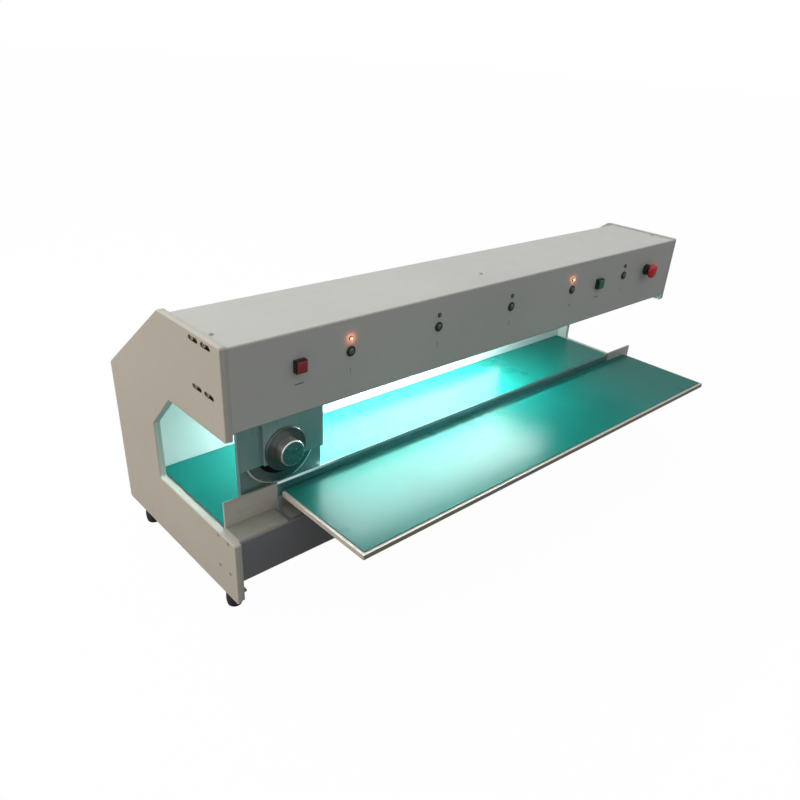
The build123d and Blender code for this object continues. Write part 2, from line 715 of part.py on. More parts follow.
def rear_cover():
    """Sloping and vertical back with louvres and the power inlet's opening."""
    slope = REAR_DROP / (PLATE_DEPTH - HEAD_TOP_DEPTH)
    lap_z = COVER_TOP - SHEET
    top_y = FRONT + COVER_TOP_DEPTH
    edge_z = lap_z - (REAR_FACE - top_y) * slope
    points = [(REAR_FACE - REAR_LIP, BASE_FLOOR), (REAR_FACE, BASE_FLOOR), (REAR_FACE, edge_z),
              (top_y, lap_z), (top_y - LAP, lap_z)]
    x0 = INNER_LEFT + FIT_GAP
    cover = folded_sheet(points, SHEET, BEND_R, x0, -x0)
    for group in VENT_GROUPS:
        for index in range(VENT_COUNT):
            place = Pos(group + index * VENT_PITCH, REAR_FACE, PLATE_BOTTOM + VENT_HEIGHT) * Rot(X=90)
            vent = SlotOverall(VENT_LENGTH, VENT_WIDTH, rotation=90)
            cover -= extrude(place * vent, amount=2 * SHEET, both=True)
    half_w = INLET_WIDTH / 2 + FIT_GAP
    half_h = INLET_OPENING_HEIGHT / 2 + FIT_GAP
    x, z = RIGHT - INLET_FROM_RIGHT, PLATE_BOTTOM + INLET_HEIGHT
    through = (REAR_FACE - 2 * SHEET, REAR_FACE + SHEET)
    return cover - block((x - half_w, x + half_w), through, (z - half_h, z + half_h))


def beam_floor():
    """Flat sheet under the beam, behind the carriage's path."""
    x0 = INNER_LEFT + FIT_GAP
    return block((x0, -x0), (FRONT + CARRIAGE_SLOT_REAR, REAR_WALL_Y), (PANEL_BOTTOM - SHEET, PANEL_BOTTOM))


def lamp():
    """Strip lamp: a channel under the beam floor and its diffuser."""
    x0 = LEFT + LAMP_START
    x1 = x0 + LAMP_LENGTH
    y0 = FRONT + LAMP_DEPTH
    top = PANEL_BOTTOM - SHEET
    bottom = top - LAMP_HEIGHT
    channel = block((x0, x1), (y0, y0 + LAMP_WIDTH), (bottom, top))
    channel -= block((x0 + LAMP_WALL, x1 - LAMP_WALL), (y0 + LAMP_WALL, y0 + LAMP_WIDTH - LAMP_WALL),
                     (bottom, top - LAMP_WALL))
    inset = LAMP_WALL + FIT_GAP
    middle = y0 + LAMP_WIDTH / 2
    half = LAMP_WIDTH / 2 - inset
    section = make_face([Line((middle - half, top - inset), (middle + half, top - inset)),
                         Line((middle + half, top - inset), (middle + half, bottom)),
                         ThreePointArc((middle + half, bottom), (middle, bottom - LAMP_WALL),
                                       (middle - half, bottom)),
                         Line((middle - half, bottom), (middle - half, top - inset))])
    return channel, along_x(section, x0 + inset, x1 - inset)


# ---------------- Beam and rail ----------------
def main_beam():
    """Extruded box section with a screw port in each corner."""
    width, height = BEAM_REAR - BEAM_FRONT, BEAM_TOP - BEAM_BOTTOM
    middle = (BEAM_MIDDLE, (BEAM_TOP + BEAM_BOTTOM) / 2)
    hollow = Rectangle(width - 2 * BEAM_WALL, height - 2 * BEAM_WALL)
    section = Pos(*middle) * (Rectangle(width, height) - hollow)
    for y, z in beam_screw_places():
        port = Rectangle(2 * BEAM_SCREW_INSET, 2 * BEAM_SCREW_INSET)
        section += Pos(y, z) * port
    for y, z in beam_screw_places():
        section -= Pos(y, z) * Circle(BEAM_SCREW_R + RUNNING_GAP)
    beam = along_x(section, INNER_LEFT, INNER_RIGHT)
    for x, y in top_screw_places():
        beam -= Pos(x, y, BEAM_TOP) * Cylinder(TOP_SCREW_R + RUNNING_GAP, 2 * BEAM_WALL + SHEET)
    return beam


def rail_section(grow=0.0):
    """Waisted rail section in (y, z), hanging from the beam, grown by a clearance."""
    half = RAIL_WIDTH / 2 + grow
    waist = half - RAIL_WAIST
    high, high_waist, low_waist, low = [-RAIL_HEIGHT * share for share in RAIL_WAIST_SHARES]
    points = [(-half, 0), (-half, high), (-waist, high_waist), (-waist, low_waist), (-half, low),
              (-half, -RAIL_HEIGHT - grow)]
    right = [(-y, z) for y, z in points[::-1]]
    return Pos(BEAM_MIDDLE, BEAM_BOTTOM) * make_face(Polyline(*points, *right, close=True))


def linear_rail():
    """Rail with counterbored screw holes from below."""
    x0 = INNER_LEFT + RAIL_END_GAP
    rail = along_x(rail_section(), x0, -x0)
    count = int((-2 * x0) // RAIL_HOLE_PITCH)
    for index in range(count + 1):
        x = (index - count / 2) * RAIL_HOLE_PITCH
        place = Pos(x, BEAM_MIDDLE, RAIL_BOTTOM)
        rail -= place * Cylinder(RAIL_HOLE_R, RAIL_HEIGHT, align=STANDING)
        rail -= place * Cylinder(RAIL_COUNTERBORE_R, RAIL_COUNTERBORE_DEPTH,
                                 align=STANDING)
    return rail


def block_centres():
    middle = AXIS_X + (BACK_PLATE_REACH[1] - BACK_PLATE_REACH[0]) / 2
    return [middle - BLOCK_SPACING / 2, middle + BLOCK_SPACING / 2]


def block_screw_places(centre):
    dx, dy = BLOCK_SCREW_X / 2, BLOCK_SCREW_Y / 2
    return [(centre + sx * dx, BEAM_MIDDLE + sy * dy) for sx in (-1, 1) for sy in (-1, 1)]


def rail_blocks():
    """Two bearing blocks that wrap the rail."""
    outline = RectangleRounded(BLOCK_WIDTH, BLOCK_HEIGHT, BLOCK_CORNER_R)
    outline = Pos(BEAM_MIDDLE, BLOCK_BOTTOM + BLOCK_HEIGHT / 2) * outline
    section = outline - rail_section(BLOCK_CLEARANCE)
    blocks = []
    for centre in block_centres():
        body = along_x(section, centre - BLOCK_LENGTH / 2, centre + BLOCK_LENGTH / 2)
        for x, y in block_screw_places(centre):
            body -= Pos(x, y, BLOCK_BOTTOM) * Cylinder(BLOCK_SCREW_R + RUNNING_GAP, BLOCK_SCREW_LENGTH)
        blocks.append(body)
    return blocks


# ---------------- Carriage ----------------
def plate_screw_places():
    """(x, y) of the cap screws from the top plate into the hanging plates."""
    front_y = (BLOCK_Y + RING_Y) / 2
    back_y = BACK_PLATE_Y + BACK_PLATE_T / 2
    places = []
    for (left, right), y in ((BEARING_BLOCK_REACH, front_y), (BACK_PLATE_REACH, back_y)):
        places += [(AXIS_X - left + PLATE_SCREW_INSET, y), (AXIS_X + right - PLATE_SCREW_INSET, y)]
    return places


def carriage_top_plate():
    """Plate under the rail blocks that the hanging plates and the belt clamp are bolted to."""
    plate = block((AXIS_X - FRONT_PLATE_REACH[0], AXIS_X + BACK_PLATE_REACH[1]), (RING_Y, FRONT + TOP_PLATE_REAR),
                  (TOP_PLATE_BOTTOM, BLOCK_BOTTOM))
    for centre in block_centres():
        for x, y in block_screw_places(centre):
            plate -= Pos(x, y, TOP_PLATE_BOTTOM) * Cylinder(BLOCK_SCREW_R + FIT_GAP, 3 * TOP_PLATE_T)
            plate -= Pos(x, y, TOP_PLATE_BOTTOM) * Cylinder(
                BLOCK_SCREW_HEAD_R + FIT_GAP, BLOCK_SCREW_HEAD_H, align=STANDING)
    for x, y in plate_screw_places():
        plate -= Pos(x, y, TOP_PLATE_BOTTOM) * Cylinder(PLATE_SCREW_R + FIT_GAP, 3 * TOP_PLATE_T)
        plate -= Pos(x, y, BLOCK_BOTTOM) * Cylinder(
            PLATE_SCREW_HEAD_R + FIT_GAP, PLATE_SCREW_HEAD_H, align=HANGING)
    return plate


def hanging_plate(reach, y_span, rise, bore):
    """A carriage plate below the top plate, with tapped holes in its top edge."""
    left, right = reach
    plate = block((AXIS_X - left, AXIS_X + right), y_span, (BLADE_TOP_Z + rise, TOP_PLATE_BOTTOM))
    plate -= disc(bore, *y_span, AXIS_X, SPINDLE_Z)
    for x, y in plate_screw_places():
        plate -= Pos(x, y, TOP_PLATE_BOTTOM) * Cylinder(PLATE_SCREW_R + RUNNING_GAP, 2 * PLATE_SCREW_LENGTH)
    return plate


def carriage_front_plate():
    return hanging_plate(FRONT_PLATE_REACH, (BLOCK_Y, FRONT_PLATE_Y), FRONT_PLATE_RISE, JOURNAL_R + BUSH_WALL)


def bearing_block():
    part = hanging_plate(BEARING_BLOCK_REACH, (RING_Y, BLOCK_Y), BEARING_BLOCK_RISE, JOURNAL_R + BUSH_WALL)
    return chamfer(part.faces().sort_by(Axis.Y)[0].outer_wire().edges().filter_by(Axis.Z), BLOCK_CHAMFER)


def carriage_back_plate():
    return hanging_plate(BACK_PLATE_REACH, (BACK_PLATE_Y, BACK_PLATE_Y + BACK_PLATE_T), BACK_PLATE_RISE,
                         REAR_JOURNAL_R + BUSH_WALL)


def carriage_screws():
    plate_one = screw(PLATE_SCREW_R, PLATE_SCREW_LENGTH, PLATE_SCREW_HEAD_R, PLATE_SCREW_HEAD_H)
    seat = BLOCK_BOTTOM - PLATE_SCREW_HEAD_H
    screws = [Pos(x, y, seat) * plate_one for x, y in plate_screw_places()]
    length = TOP_PLATE_T - BLOCK_SCREW_HEAD_H + BLOCK_SCREW_LENGTH / 2
    block_one = screw(BLOCK_SCREW_R, length, BLOCK_SCREW_HEAD_R, BLOCK_SCREW_HEAD_H)
    for centre in block_centres():
        for x, y in block_screw_places(centre):
            screws.append(Pos(x, y, TOP_PLATE_BOTTOM + BLOCK_SCREW_HEAD_H) * Rot(X=180) * block_one)
    return screws


def dial_ring():
    """Dark graduated ring round the knob."""
    bore = JOURNAL_R + RUNNING_GAP
    part = turned([(bore, 0), (RING_R, 0), (RING_R, RING_BEVEL - RING_T), (RING_R - RING_BEVEL, -RING_T),
                   (bore, -RING_T)], AXIS_X, SPINDLE_Z, RING_Y)
    middle = RING_R - RING_BEVEL - TICK_INSET - TICK_LENGTH / 2
    tick = Pos(middle, -RING_T, 0) * Box(TICK_LENGTH, 2 * TICK_DEPTH, TICK_WIDTH)
    for index in range(RING_TICKS):
        part -= Pos(AXIS_X, RING_Y, SPINDLE_Z) * Rot(Y=index * 360 / RING_TICKS) * tick
    return part


def adjusting_knob():
    """Silver knob on the spindle's end."""
    y1 = KNOB_T
    part = turned([(0, 0), (KNOB_R - KNOB_CHAMFER, 0), (KNOB_R, KNOB_CHAMFER), (KNOB_R, y1),
                   (KNOB_SEAT_R + RUNNING_GAP, y1), (KNOB_SEAT_R + RUNNING_GAP, y1 - KNOB_SEAT_DEPTH),
                   (0, y1 - KNOB_SEAT_DEPTH)], AXIS_X, SPINDLE_Z, KNOB_Y - KNOB_T)
    return part


def eccentric_spindle():
    """Spindle whose blade seat is offset, so that turning the knob lifts the blade."""
    seat_front, seat_rear = BLADE_Y - BLADE_T / 2 - FLANGE_T, BLADE_Y + HUB_REAR
    knob_end = KNOB_Y - KNOB_SEAT_DEPTH
    shaft = disc(KNOB_SEAT_R, knob_end, KNOB_Y, AXIS_X, SPINDLE_Z)
    shaft += disc(JOURNAL_R, KNOB_Y, seat_front, AXIS_X, SPINDLE_Z)
    shaft += disc(BLADE_SEAT_R, seat_front, seat_rear + FIT_GAP, AXIS_X, BLADE_Z)
    shaft += disc(REAR_JOURNAL_R, seat_rear + FIT_GAP, BACK_PLATE_Y + BACK_PLATE_T, AXIS_X, SPINDLE_Z)
    return shaft


def spindle_bushes():
    front = ring(JOURNAL_R + RUNNING_GAP, JOURNAL_R + BUSH_WALL, RING_Y, FRONT_PLATE_Y, AXIS_X, SPINDLE_Z)
    rear = ring(REAR_JOURNAL_R + RUNNING_GAP, REAR_JOURNAL_R + BUSH_WALL, BACK_PLATE_Y,
                BACK_PLATE_Y + BACK_PLATE_T, AXIS_X, SPINDLE_Z)
    return front, rear


def upper_blade():
    """Round blade with a double bevel to its edge."""
    half, edge = BLADE_T / 2, BLADE_EDGE_T / 2
    bore = HUB_R + RUNNING_GAP
    part = turned([(bore, -half), (BLADE_R - BLADE_BEVEL, -half), (BLADE_R, -edge), (BLADE_R, edge),
                   (BLADE_R - BLADE_BEVEL, half), (bore, half)], AXIS_X, BLADE_Z, BLADE_Y)
    return part - clamp_holes(CLAMP_SCREW_R + FIT_GAP)


def around(x, z, radius, count):
    """(x, z) of evenly spaced places on a circle."""
    angles = [2 * pi * index / count for index in range(count)]
    return [(x + radius * cos(angle), z + radius * sin(angle)) for angle in angles]


def clamp_screw_places():
    return around(AXIS_X, BLADE_Z, CLAMP_SCREW_PCD / 2, CLAMP_SCREW_COUNT)


def clamp_holes(radius):
    """Screw holes through the flange, blade and clamp ring."""
    y0, y1 = BLADE_Y - BLADE_T / 2 - 2 * FLANGE_T, BLADE_Y + BLADE_T / 2 + 2 * CLAMP_RING_T
    return [disc(radius, y0, y1, x, z) for x, z in clamp_screw_places()]


def blade_hub():
    """Flange in front of the blade, with the boss that centres it."""
    front, rear = BLADE_Y - BLADE_T / 2 - FLANGE_T, BLADE_Y + HUB_REAR
    bore = BEARING_R
    part = turned([(bore, front), (FLANGE_R, front), (FLANGE_R, front + FLANGE_T), (HUB_R, front + FLANGE_T),
                   (HUB_R, rear), (bore, rear)], AXIS_X, BLADE_Z)
    return part - clamp_holes(CLAMP_SCREW_R + RUNNING_GAP)


def blade_bearing():
    front, rear = BLADE_Y - BLADE_T / 2 - FLANGE_T + FIT_GAP, BLADE_Y + HUB_REAR
    return ring(BLADE_SEAT_R + RUNNING_GAP, BEARING_R, front, rear, AXIS_X, BLADE_Z)


def clamp_ring():
    y0 = BLADE_Y + BLADE_T / 2
    part = ring(HUB_R + RUNNING_GAP, FLANGE_R, y0, y0 + CLAMP_RING_T, AXIS_X, BLADE_Z)
    seat = y0 + CLAMP_RING_T - CLAMP_SCREW_HEAD_H
    for x, z in clamp_screw_places():
        part -= disc(CLAMP_SCREW_HEAD_R + FIT_GAP, seat, y0 + CLAMP_RING_T, x, z)
    return part - clamp_holes(CLAMP_SCREW_R + FIT_GAP)


def clamp_screws():
    seat = BLADE_Y + BLADE_T / 2 + CLAMP_RING_T - CLAMP_SCREW_HEAD_H
    length = seat - (BLADE_Y - BLADE_T / 2 - FLANGE_T)
    one = screw(CLAMP_SCREW_R, length, CLAMP_SCREW_HEAD_R, CLAMP_SCREW_HEAD_H)
    return [Pos(x, seat, z) * Rot(X=-90) * one for x, z in clamp_screw_places()]


# ---------------- Linear blade, holder, end brackets ----------------
def linear_blade():
    """Straight blade with a double bevel along its top edge."""
    half, edge = LINEAR_BLADE_T / 2, LINEAR_EDGE_T / 2
    bottom = BLADE_TOP_Z - LINEAR_BLADE_HEIGHT
    bevel = BLADE_TOP_Z - LINEAR_EDGE_HEIGHT
    rear = [(BLADE_Y + half, bottom), (BLADE_Y + half, bevel), (BLADE_Y + edge, BLADE_TOP_Z)]
    front = [(BLADE_Y - edge, BLADE_TOP_Z), (BLADE_Y - half, bevel), (BLADE_Y - half, bottom)]
    section = make_face(Polyline(*rear, *front, close=True))
    blade = along_x(section, BLADE_X0, BLADE_X1)
    for x, z in holder_screw_places():
        blade -= disc(HOLDER_SCREW_R + RUNNING_GAP, BLADE_Y - half, BLADE_Y + half, x, z)
    return blade


def holder_screw_places():
    """(x, z) of the screws that hold the linear blade, spread from its middle."""
    count = int(BLADE_LENGTH // HOLDER_SCREW_PITCH)
    places = [BLADE_SHIFT + (index - (count - 1) / 2) * HOLDER_SCREW_PITCH for index in range(count)]
    return [(x, DECK + HOLDER_SCREW_RISE) for x in places]


def blade_holder():
    """Angle bar on the deck: its wall carries the linear blade and the table's rear edge."""
    rear = BLADE_Y - LINEAR_BLADE_T / 2
    wall_front = rear - HOLDER_T
    foot_front = rear - HOLDER_FOOT_DEPTH
    section = make_face(Polyline(
        (foot_front, DECK), (rear, DECK), (rear, TABLE_BOTTOM), (wall_front, TABLE_BOTTOM),
        (wall_front, DECK + HOLDER_FOOT_T), (foot_front, DECK + HOLDER_FOOT_T), close=True))
    holder = along_x(section, BLADE_X0, BLADE_X1)
    for x, z in holder_screw_places():
        holder -= disc(HOLDER_SCREW_R + FIT_GAP, wall_front, rear, x, z)
    return holder


def holder_screws():
    seat = BLADE_Y - LINEAR_BLADE_T / 2 - HOLDER_T
    one = screw(HOLDER_SCREW_R, HOLDER_T + LINEAR_BLADE_T, HOLDER_SCREW_HEAD_R, HOLDER_SCREW_HEAD_H)
    return [Pos(x, seat, z) * Rot(X=90) * one for x, z in holder_screw_places()]


def end_bracket(x0, x1):
    """Angle bracket that carries the board edge on from x0 to the linear blade's left end at x1."""
    rear = BLADE_Y + BRACKET_T / 2
    foot_front = FRONT + BRACKET_FOOT_FRONT
    points = [(foot_front, DECK), (rear, DECK), (rear, BLADE_TOP_Z)]
    part = folded_sheet(points, BRACKET_T, BRACKET_BEND_R, x0, x1)
    return part - block((x1 - BRACKET_NOTCH, x1), (foot_front, rear - BRACKET_T), (DECK, DECK + BRACKET_T))


def end_brackets():
    left = end_bracket(INNER_LEFT + FIT_GAP, BLADE_X0 - BRACKET_BLADE_GAP)
    right = end_bracket(RIGHT_BRACKET_INSET - INNER_RIGHT, -BLADE_X1 - BRACKET_BLADE_GAP)
    return left, mirror(right, about=Plane.YZ)


# ---------------- Front table ----------------
def front_table():
    board = block((TABLE_X0, TABLE_X1), (FRONT - TABLE_REACH, FRONT + TABLE_REAR),
                  (TABLE_BOTTOM, TABLE_BOTTOM + TABLE_BOARD_T))
    board = fillet(board.edges().filter_by(Axis.Z), TABLE_CORNER_R)
    return fillet(board.faces().sort_by(Axis.Z)[-1].edges(), TABLE_EDGE_R)


def front_table_mat():
    mat = block((TABLE_X0 + TABLE_BORDER, TABLE_X1 - TABLE_BORDER),
                (FRONT - TABLE_REACH + TABLE_BORDER, FRONT + TABLE_REAR - FIT_GAP),
                (TABLE_TOP_Z - MAT_T, TABLE_TOP_Z))
    return fillet(mat.edges().filter_by(Axis.Z), MAT_CORNER_R)


def table_brackets():
    """Gusseted angles from the base's front wall to the table's underside."""
    rear = BASE_FACE
    foot = DECK - TABLE_BRACKET_FOOT
    reach = rear - TABLE_BRACKET_REACH
    t = TABLE_BRACKET_T
    top = TABLE_BOTTOM
    outer = [(rear, foot), (rear, top), (reach, top)]
    inner = [(reach, top - t), (rear - t, top - t), (rear - t, foot)]
    angle = make_face(Polyline(*outer, *inner, close=True))
    gusset = make_face(Polyline((rear - t, foot + t), (rear - t, top - t), (reach + t, top - t), close=True))
    brackets = []
    for middle in (-TABLE_BRACKET_PITCH, 0, TABLE_BRACKET_PITCH):
        part = along_x(angle, middle - TABLE_BRACKET_WIDTH / 2, middle + TABLE_BRACKET_WIDTH / 2)
        brackets.append(part + along_x(gusset, middle - GUSSET_T / 2, middle + GUSSET_T / 2))
    return brackets


# ---------------- Belt drive ----------------
def pulley(x, bore):
    """Toothed pulley with two flanges."""
    y0 = PULLEY_Y - PULLEY_SIDE_GAP
    y1 = PULLEY_Y + BELT_WIDTH + PULLEY_SIDE_GAP
    part = disc(BELT_R, y0, y1, x, PULLEY_Z)
    for tooth_x, tooth_z in around(x, PULLEY_Z, BELT_R, PULLEY_TEETH):
        part -= disc(TOOTH_R, y0, y1, tooth_x, tooth_z)
    part += disc(PULLEY_FLANGE_R, y0 - PULLEY_FLANGE_T, y0, x, PULLEY_Z)
    part += disc(PULLEY_FLANGE_R, y1, y1 + PULLEY_FLANGE_T, x, PULLEY_Z)
    return part - disc(bore, y0 - PULLEY_FLANGE_T, y1 + PULLEY_FLANGE_T, x, PULLEY_Z)


def drive_belt():
    """The belt's loop round both pulleys."""
    length = DRIVE_X - IDLER_X
    middle = (IDLER_X + DRIVE_X) / 2
    outer_r = BELT_INNER_R + BELT_T
    outer = SlotCenterToCenter(length, 2 * outer_r)
    inner = SlotCenterToCenter(length, 2 * BELT_INNER_R)
    loop = extrude(Plane.XZ * (outer - inner), amount=-BELT_WIDTH)
    return Pos(middle, PULLEY_Y, PULLEY_Z) * loop


def drive_bracket(x, bore):
    """Z-shaped bracket on the beam's rear face, behind a pulley."""
    shelf = BEAM_BOTTOM + DRIVE_BRACKET_SHELF
    t = DRIVE_BRACKET_T
    y0, y1 = BEAM_REAR, BRACKET_PLATE_Y
    bottom = BEAM_BOTTOM - DRIVE_BRACKET_DROP
    upper = [(y0, shelf), (y1 + t, shelf), (y1 + t, bottom)]
    lower = [(y1, bottom), (y1, shelf - t), (y0, shelf - t)]
    section = make_face(Polyline(*upper, *lower, close=True))
    flange = make_face(Polyline((y0, shelf), (y0 + t, shelf), (y0 + t, shelf + DRIVE_BRACKET_FLANGE),
                                (y0, shelf + DRIVE_BRACKET_FLANGE), close=True))
    half = DRIVE_BRACKET_WIDTH / 2
    part = along_x(section + flange, x - half, x + half)
    return part - disc(bore, y1, y1 + t, x, PULLEY_Z)


def motor_screw_places():
    half = MOTOR_SCREW_SPACING / 2
    return [(DRIVE_X + sx * half, PULLEY_Z + sz * half) for sx in (-1, 1) for sz in (-1, 1)]


def motor_bracket():
    part = drive_bracket(DRIVE_X, MOTOR_SHAFT_R + 2 * SHEET)
    for x, z in motor_screw_places():
        part -= disc(MOTOR_SCREW_R + FIT_GAP, BRACKET_PLATE_Y, BRACKET_PLATE_Y + DRIVE_BRACKET_T, x, z)
    return part


def drive_motor():
    """Gearbox and motor behind the bracket."""
    y0 = BRACKET_PLATE_Y + DRIVE_BRACKET_T
    half = GEARBOX_SIZE / 2
    y1 = y0 + GEARBOX_LENGTH
    gearbox = block((DRIVE_X - half, DRIVE_X + half), (y0, y1), (PULLEY_Z - half, PULLEY_Z + half))
    gearbox = fillet(gearbox.edges().filter_by(Axis.Y), GEARBOX_CORNER_R)
    motor = disc(MOTOR_R, y1, y1 + MOTOR_LENGTH, DRIVE_X, PULLEY_Z)
    for x, z in motor_screw_places():
        gearbox -= disc(MOTOR_SCREW_R + RUNNING_GAP, y0, y0 + MOTOR_SCREW_DEPTH + SHEET, x, z)
    return gearbox + motor


def motor_shaft():
    """Output shaft that carries the drive pulley."""
    y0 = PULLEY_Y - PULLEY_SIDE_GAP - PULLEY_FLANGE_T
    return disc(MOTOR_SHAFT_R, y0, BRACKET_PLATE_Y + DRIVE_BRACKET_T - FIT_GAP, DRIVE_X, PULLEY_Z)


def motor_screws():
    one = screw(MOTOR_SCREW_R, DRIVE_BRACKET_T + MOTOR_SCREW_DEPTH, MOTOR_SCREW_HEAD_R, MOTOR_SCREW_HEAD_H)
    return [Pos(x, BRACKET_PLATE_Y, z) * Rot(X=90) * one for x, z in motor_screw_places()]


def idler_axle():
    """Shouldered axle bolted through the idler bracket."""
    y0 = PULLEY_Y - PULLEY_SIDE_GAP - PULLEY_FLANGE_T
    y1 = BRACKET_PLATE_Y + DRIVE_BRACKET_T
    shoulder = BRACKET_PLATE_Y - FIT_GAP
    axle = disc(MOTOR_SHAFT_R, y0 - AXLE_STEP, shoulder, IDLER_X, PULLEY_Z)
    axle += disc(MOTOR_SHAFT_R - AXLE_STEP, shoulder, y1 + AXLE_THREAD, IDLER_X, PULLEY_Z)
    nut = extrude(Plane.XZ * RegularPolygon(AXLE_NUT_R, 6), amount=-AXLE_NUT_T)
    return axle + Pos(IDLER_X, y1, PULLEY_Z) * nut


def belt_clamp():
    """Base jaw on the top plate and the cap that closes over the lower run."""
    run_bottom = PULLEY_Z - BELT_INNER_R - BELT_T
    run_top = PULLEY_Z - BELT_INNER_R
    half = CLAMP_LENGTH / 2
    x = (CLAMP_X - half, CLAMP_X + half)
    groove = (PULLEY_Y - FIT_GAP, PULLEY_Y + BELT_WIDTH + FIT_GAP)
    y = (groove[0] - CLAMP_WALL, groove[1] + CLAMP_WALL)
    base = block(x, y, (BLOCK_BOTTOM, run_top + FIT_GAP))
    base -= block(x, groove, (run_bottom - FIT_GAP, run_top + FIT_GAP))
    cap = block(x, y, (run_top + FIT_GAP, run_top + FIT_GAP + CLAMP_CAP_T))
    return base, cap


# ---------------- Sensors ----------------
def flag_y():
    return BEAM_FRONT - SENSOR_WIDTH / 2


def position_sensors():
    """Slotted sensors on the beam's front face, for home and for each cut length."""
    y1 = BEAM_FRONT
    z0 = BEAM_BOTTOM + SENSOR_LIFT
    sensors = []
    half = SENSOR_LENGTH / 2
    gap = SENSOR_SLOT / 2
    for index in range(BUTTON_COUNT + 1):
        x = AXIS_X + index * LENGTH_STEP
        body = block((x - half, x + half), (y1 - SENSOR_WIDTH, y1), (z0, z0 + SENSOR_HEIGHT))
        body -= block((x - half, x + half), (flag_y() - gap, flag_y() + gap), (z0, z0 + SENSOR_SLOT_DEPTH))
        sensors.append(body)
    return sensors


def sensor_flag():
    """Angle on the carriage whose upright passes through the sensors' slots."""
    y0 = flag_y() - FLAG_T / 2
    top = BEAM_BOTTOM + SENSOR_LIFT + FLAG_OVERLAP
    section = make_face(Polyline(
        (y0, BLOCK_BOTTOM), (y0 + FLAG_FOOT, BLOCK_BOTTOM), (y0 + FLAG_FOOT, BLOCK_BOTTOM + FLAG_T),
        (y0 + FLAG_T, BLOCK_BOTTOM + FLAG_T), (y0 + FLAG_T, top), (y0, top), close=True))
    return along_x(section, AXIS_X - FLAG_WIDTH / 2, AXIS_X + FLAG_WIDTH / 2)


# ---------------- Controls ----------------
def button_bezel(x):
    """Round metal bezel and its hollow barrel through the panel."""
    bore = BUTTON_CAP_R + BUTTON_GAP
    end = BUTTON_BARREL_LENGTH
    face = -BUTTON_BEZEL_T
    rim = BUTTON_BEZEL_R
    return turned([(bore, face), (rim - BEZEL_CHAMFER, face), (rim, face + BEZEL_CHAMFER), (rim, 0),
                   (BUTTON_BARREL_R, 0), (BUTTON_BARREL_R, end), (0, end), (0, end - SHEET),
                   (bore, end - SHEET)], x, CONTROL_Z, PANEL_FACE)


def button_cap(x):
    """Domed plunger in a bezel."""
    top = -BUTTON_BEZEL_T - BUTTON_CAP_RISE
    end = BUTTON_BARREL_LENGTH - SHEET - BUTTON_TRAVEL - 2 * BUTTON_GAP
    return Pos(x, PANEL_FACE, CONTROL_Z) * domed_pin(BUTTON_CAP_R, end, top + BUTTON_CAP_DOME, top)


def indicator(x):
    """Bezel and lens of one indicator lamp."""
    z = CONTROL_Z + INDICATOR_RISE
    t = INDICATOR_BEZEL_T
    end = INDICATOR_BARREL_LENGTH
    lens_end = end - SHEET
    slant = BEZEL_CHAMFER / 2
    bore, rim, barrel = INDICATOR_LENS_R, INDICATOR_R, INDICATOR_BARREL_R
    bezel = turned([(bore, -t), (rim - slant, -t), (rim, slant - t), (rim, 0), (barrel, 0), (barrel, end),
                    (0, end), (0, lens_end), (bore, lens_end)], x, z, PANEL_FACE)
    lens = domed_pin(INDICATOR_LENS_R - RUNNING_GAP, lens_end, -t, -t - INDICATOR_LENS_RISE)
    return bezel, Pos(x, PANEL_FACE, z) * lens


def square_bezel(x, z):
    """Square black switch housing: a deep frame before the panel and a body behind it."""
    outline = RectangleRounded(SWITCH_SIZE, SWITCH_SIZE, SWITCH_CORNER_R)
    frame = extrude(Plane.XZ * outline, amount=SWITCH_DEPTH)
    body = extrude(Plane.XZ * Rectangle(SWITCH_BODY_SIZE, SWITCH_BODY_SIZE), amount=-SWITCH_BODY_LENGTH)
    inner = SWITCH_SIZE - 2 * SWITCH_WALL
    pocket = extrude(Plane.XZ * Rectangle(inner, inner), amount=SWITCH_DEPTH)
    return Pos(x, PANEL_FACE, z) * (frame + body - Pos(0, -SWITCH_FLOOR, 0) * pocket)


def square_cap(x, z):
    """Square cap that slides in the housing."""
    size = SWITCH_SIZE - 2 * SWITCH_WALL - 2 * BUTTON_GAP
    start = SWITCH_FLOOR + SWITCH_TRAVEL + BUTTON_GAP
    cap = extrude(Plane.XZ * Rectangle(size, size), amount=SWITCH_DEPTH + SWITCH_CAP_RISE - start)
    cap = fillet(cap.faces().sort_by(Axis.Y)[0].edges(), SWITCH_CAP_EDGE_R)
    return Pos(x, PANEL_FACE - start, z) * cap


